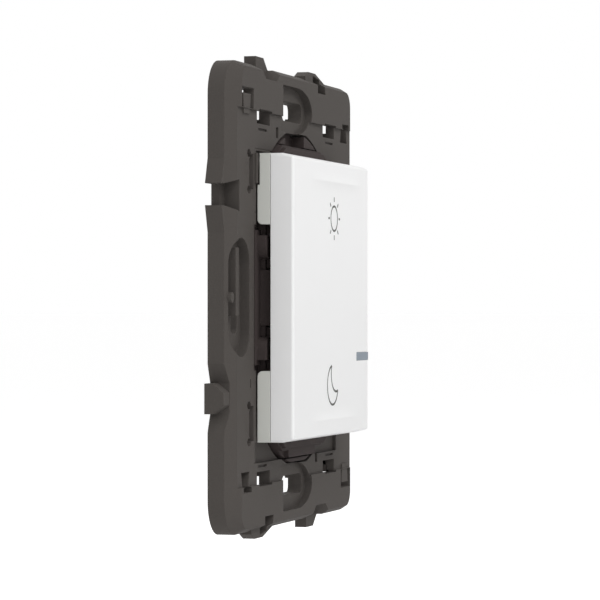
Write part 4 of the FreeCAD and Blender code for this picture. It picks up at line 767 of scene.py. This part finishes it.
class WALLSWITCH_OT_studio(bpy.types.Operator):
    """Set up the floor, the lamps, the world and the camera"""
    bl_idname = "wall_switch.studio"
    bl_label = "Studio"

    def execute(self, context):
        given = context.scene.switch_studio
        scene = context.scene
        scene.view_settings.view_transform = "Standard"
        sheet = bmesh.new()
        bmesh.ops.create_grid(sheet, x_segments=1, y_segments=1, size=given.floor_side / 2,
                              matrix=Matrix.Translation((0.0, 0.0, given.floor_level)))
        floor = add_piece(context, "studio_floor", sheet, floor_finish(given.floor_lift))
        plain_world(context, given.world_strength)
        soft_lamp(context, "front_lamp", given.front_place, given.front_power, given.lamp_side)
        soft_lamp(context, "side_lamp", given.side_place, given.side_power, given.lamp_side)
        soft_lamp(context, "back_lamp", given.back_place, given.back_power, given.lamp_side)
        camera = bpy.data.cameras.new("photo_camera")
        camera.lens = given.camera_lens
        camera.clip_start, camera.clip_end = CLIP_NEAR, CLIP_FAR
        holder = bpy.data.objects.new("photo_camera", camera)
        holder.location = given.camera_place
        level = Vector((cos(given.camera_turn), sin(given.camera_turn), 0.0)) * cos(given.camera_rise)
        view = level + Vector((0.0, 0.0, sin(given.camera_rise)))
        holder.rotation_euler = view.to_track_quat("-Z", "Y").to_euler()
        scene.collection.objects.link(holder)
        scene.camera = holder
        return {"FINISHED"}


STEPS = (WALLSWITCH_OT_studio, WALLSWITCH_OT_support_frame, WALLSWITCH_OT_frame_trim,
         WALLSWITCH_OT_radio_module, WALLSWITCH_OT_rocker, WALLSWITCH_OT_metals,
         WALLSWITCH_OT_electronics, WALLSWITCH_OT_sun_sign, WALLSWITCH_OT_moon_sign)

SETTINGS = {"switch_plastics": PlasticFinishes, "switch_metals": MetalFinishes,
            "switch_board": BoardFinishes, "switch_signs": SignPrint, "switch_trim": FrameTrim,
            "switch_studio": StudioSettings}


class WALLSWITCH_PT_panel(bpy.types.Panel):
    """Sizes, colours and steps of the wall switch"""
    bl_idname = "WALLSWITCH_PT_panel"
    bl_label = "Wall Switch"
    bl_space_type = "VIEW_3D"
    bl_region_type = "UI"
    bl_category = "Wall Switch"

    def draw(self, context):
        for step in STEPS:
            self.layout.operator(step.bl_idname)
        for name, group in SETTINGS.items():
            box = self.layout.box()
            for setting in group.__annotations__:
                box.prop(getattr(context.scene, name), setting)


def register():
    for part in (*SETTINGS.values(), *STEPS, WALLSWITCH_PT_panel):
        bpy.utils.register_class(part)
    for name, group in SETTINGS.items():
        setattr(bpy.types.Scene, name, PointerProperty(type=group))


def unregister():
    for name in SETTINGS:
        delattr(bpy.types.Scene, name)
    for part in reversed((*SETTINGS.values(), *STEPS, WALLSWITCH_PT_panel)):
        bpy.utils.unregister_class(part)


def main():
    register()
    bpy.ops.wall_switch.studio()
    bpy.ops.wall_switch.support_frame()
    bpy.ops.wall_switch.frame_trim()
    bpy.ops.wall_switch.radio_module()
    bpy.ops.wall_switch.rocker()
    bpy.ops.wall_switch.metals()
    bpy.ops.wall_switch.electronics()
    bpy.ops.wall_switch.sun_sign()
    bpy.ops.wall_switch.moon_sign()


if __name__ == "__main__":
    main()
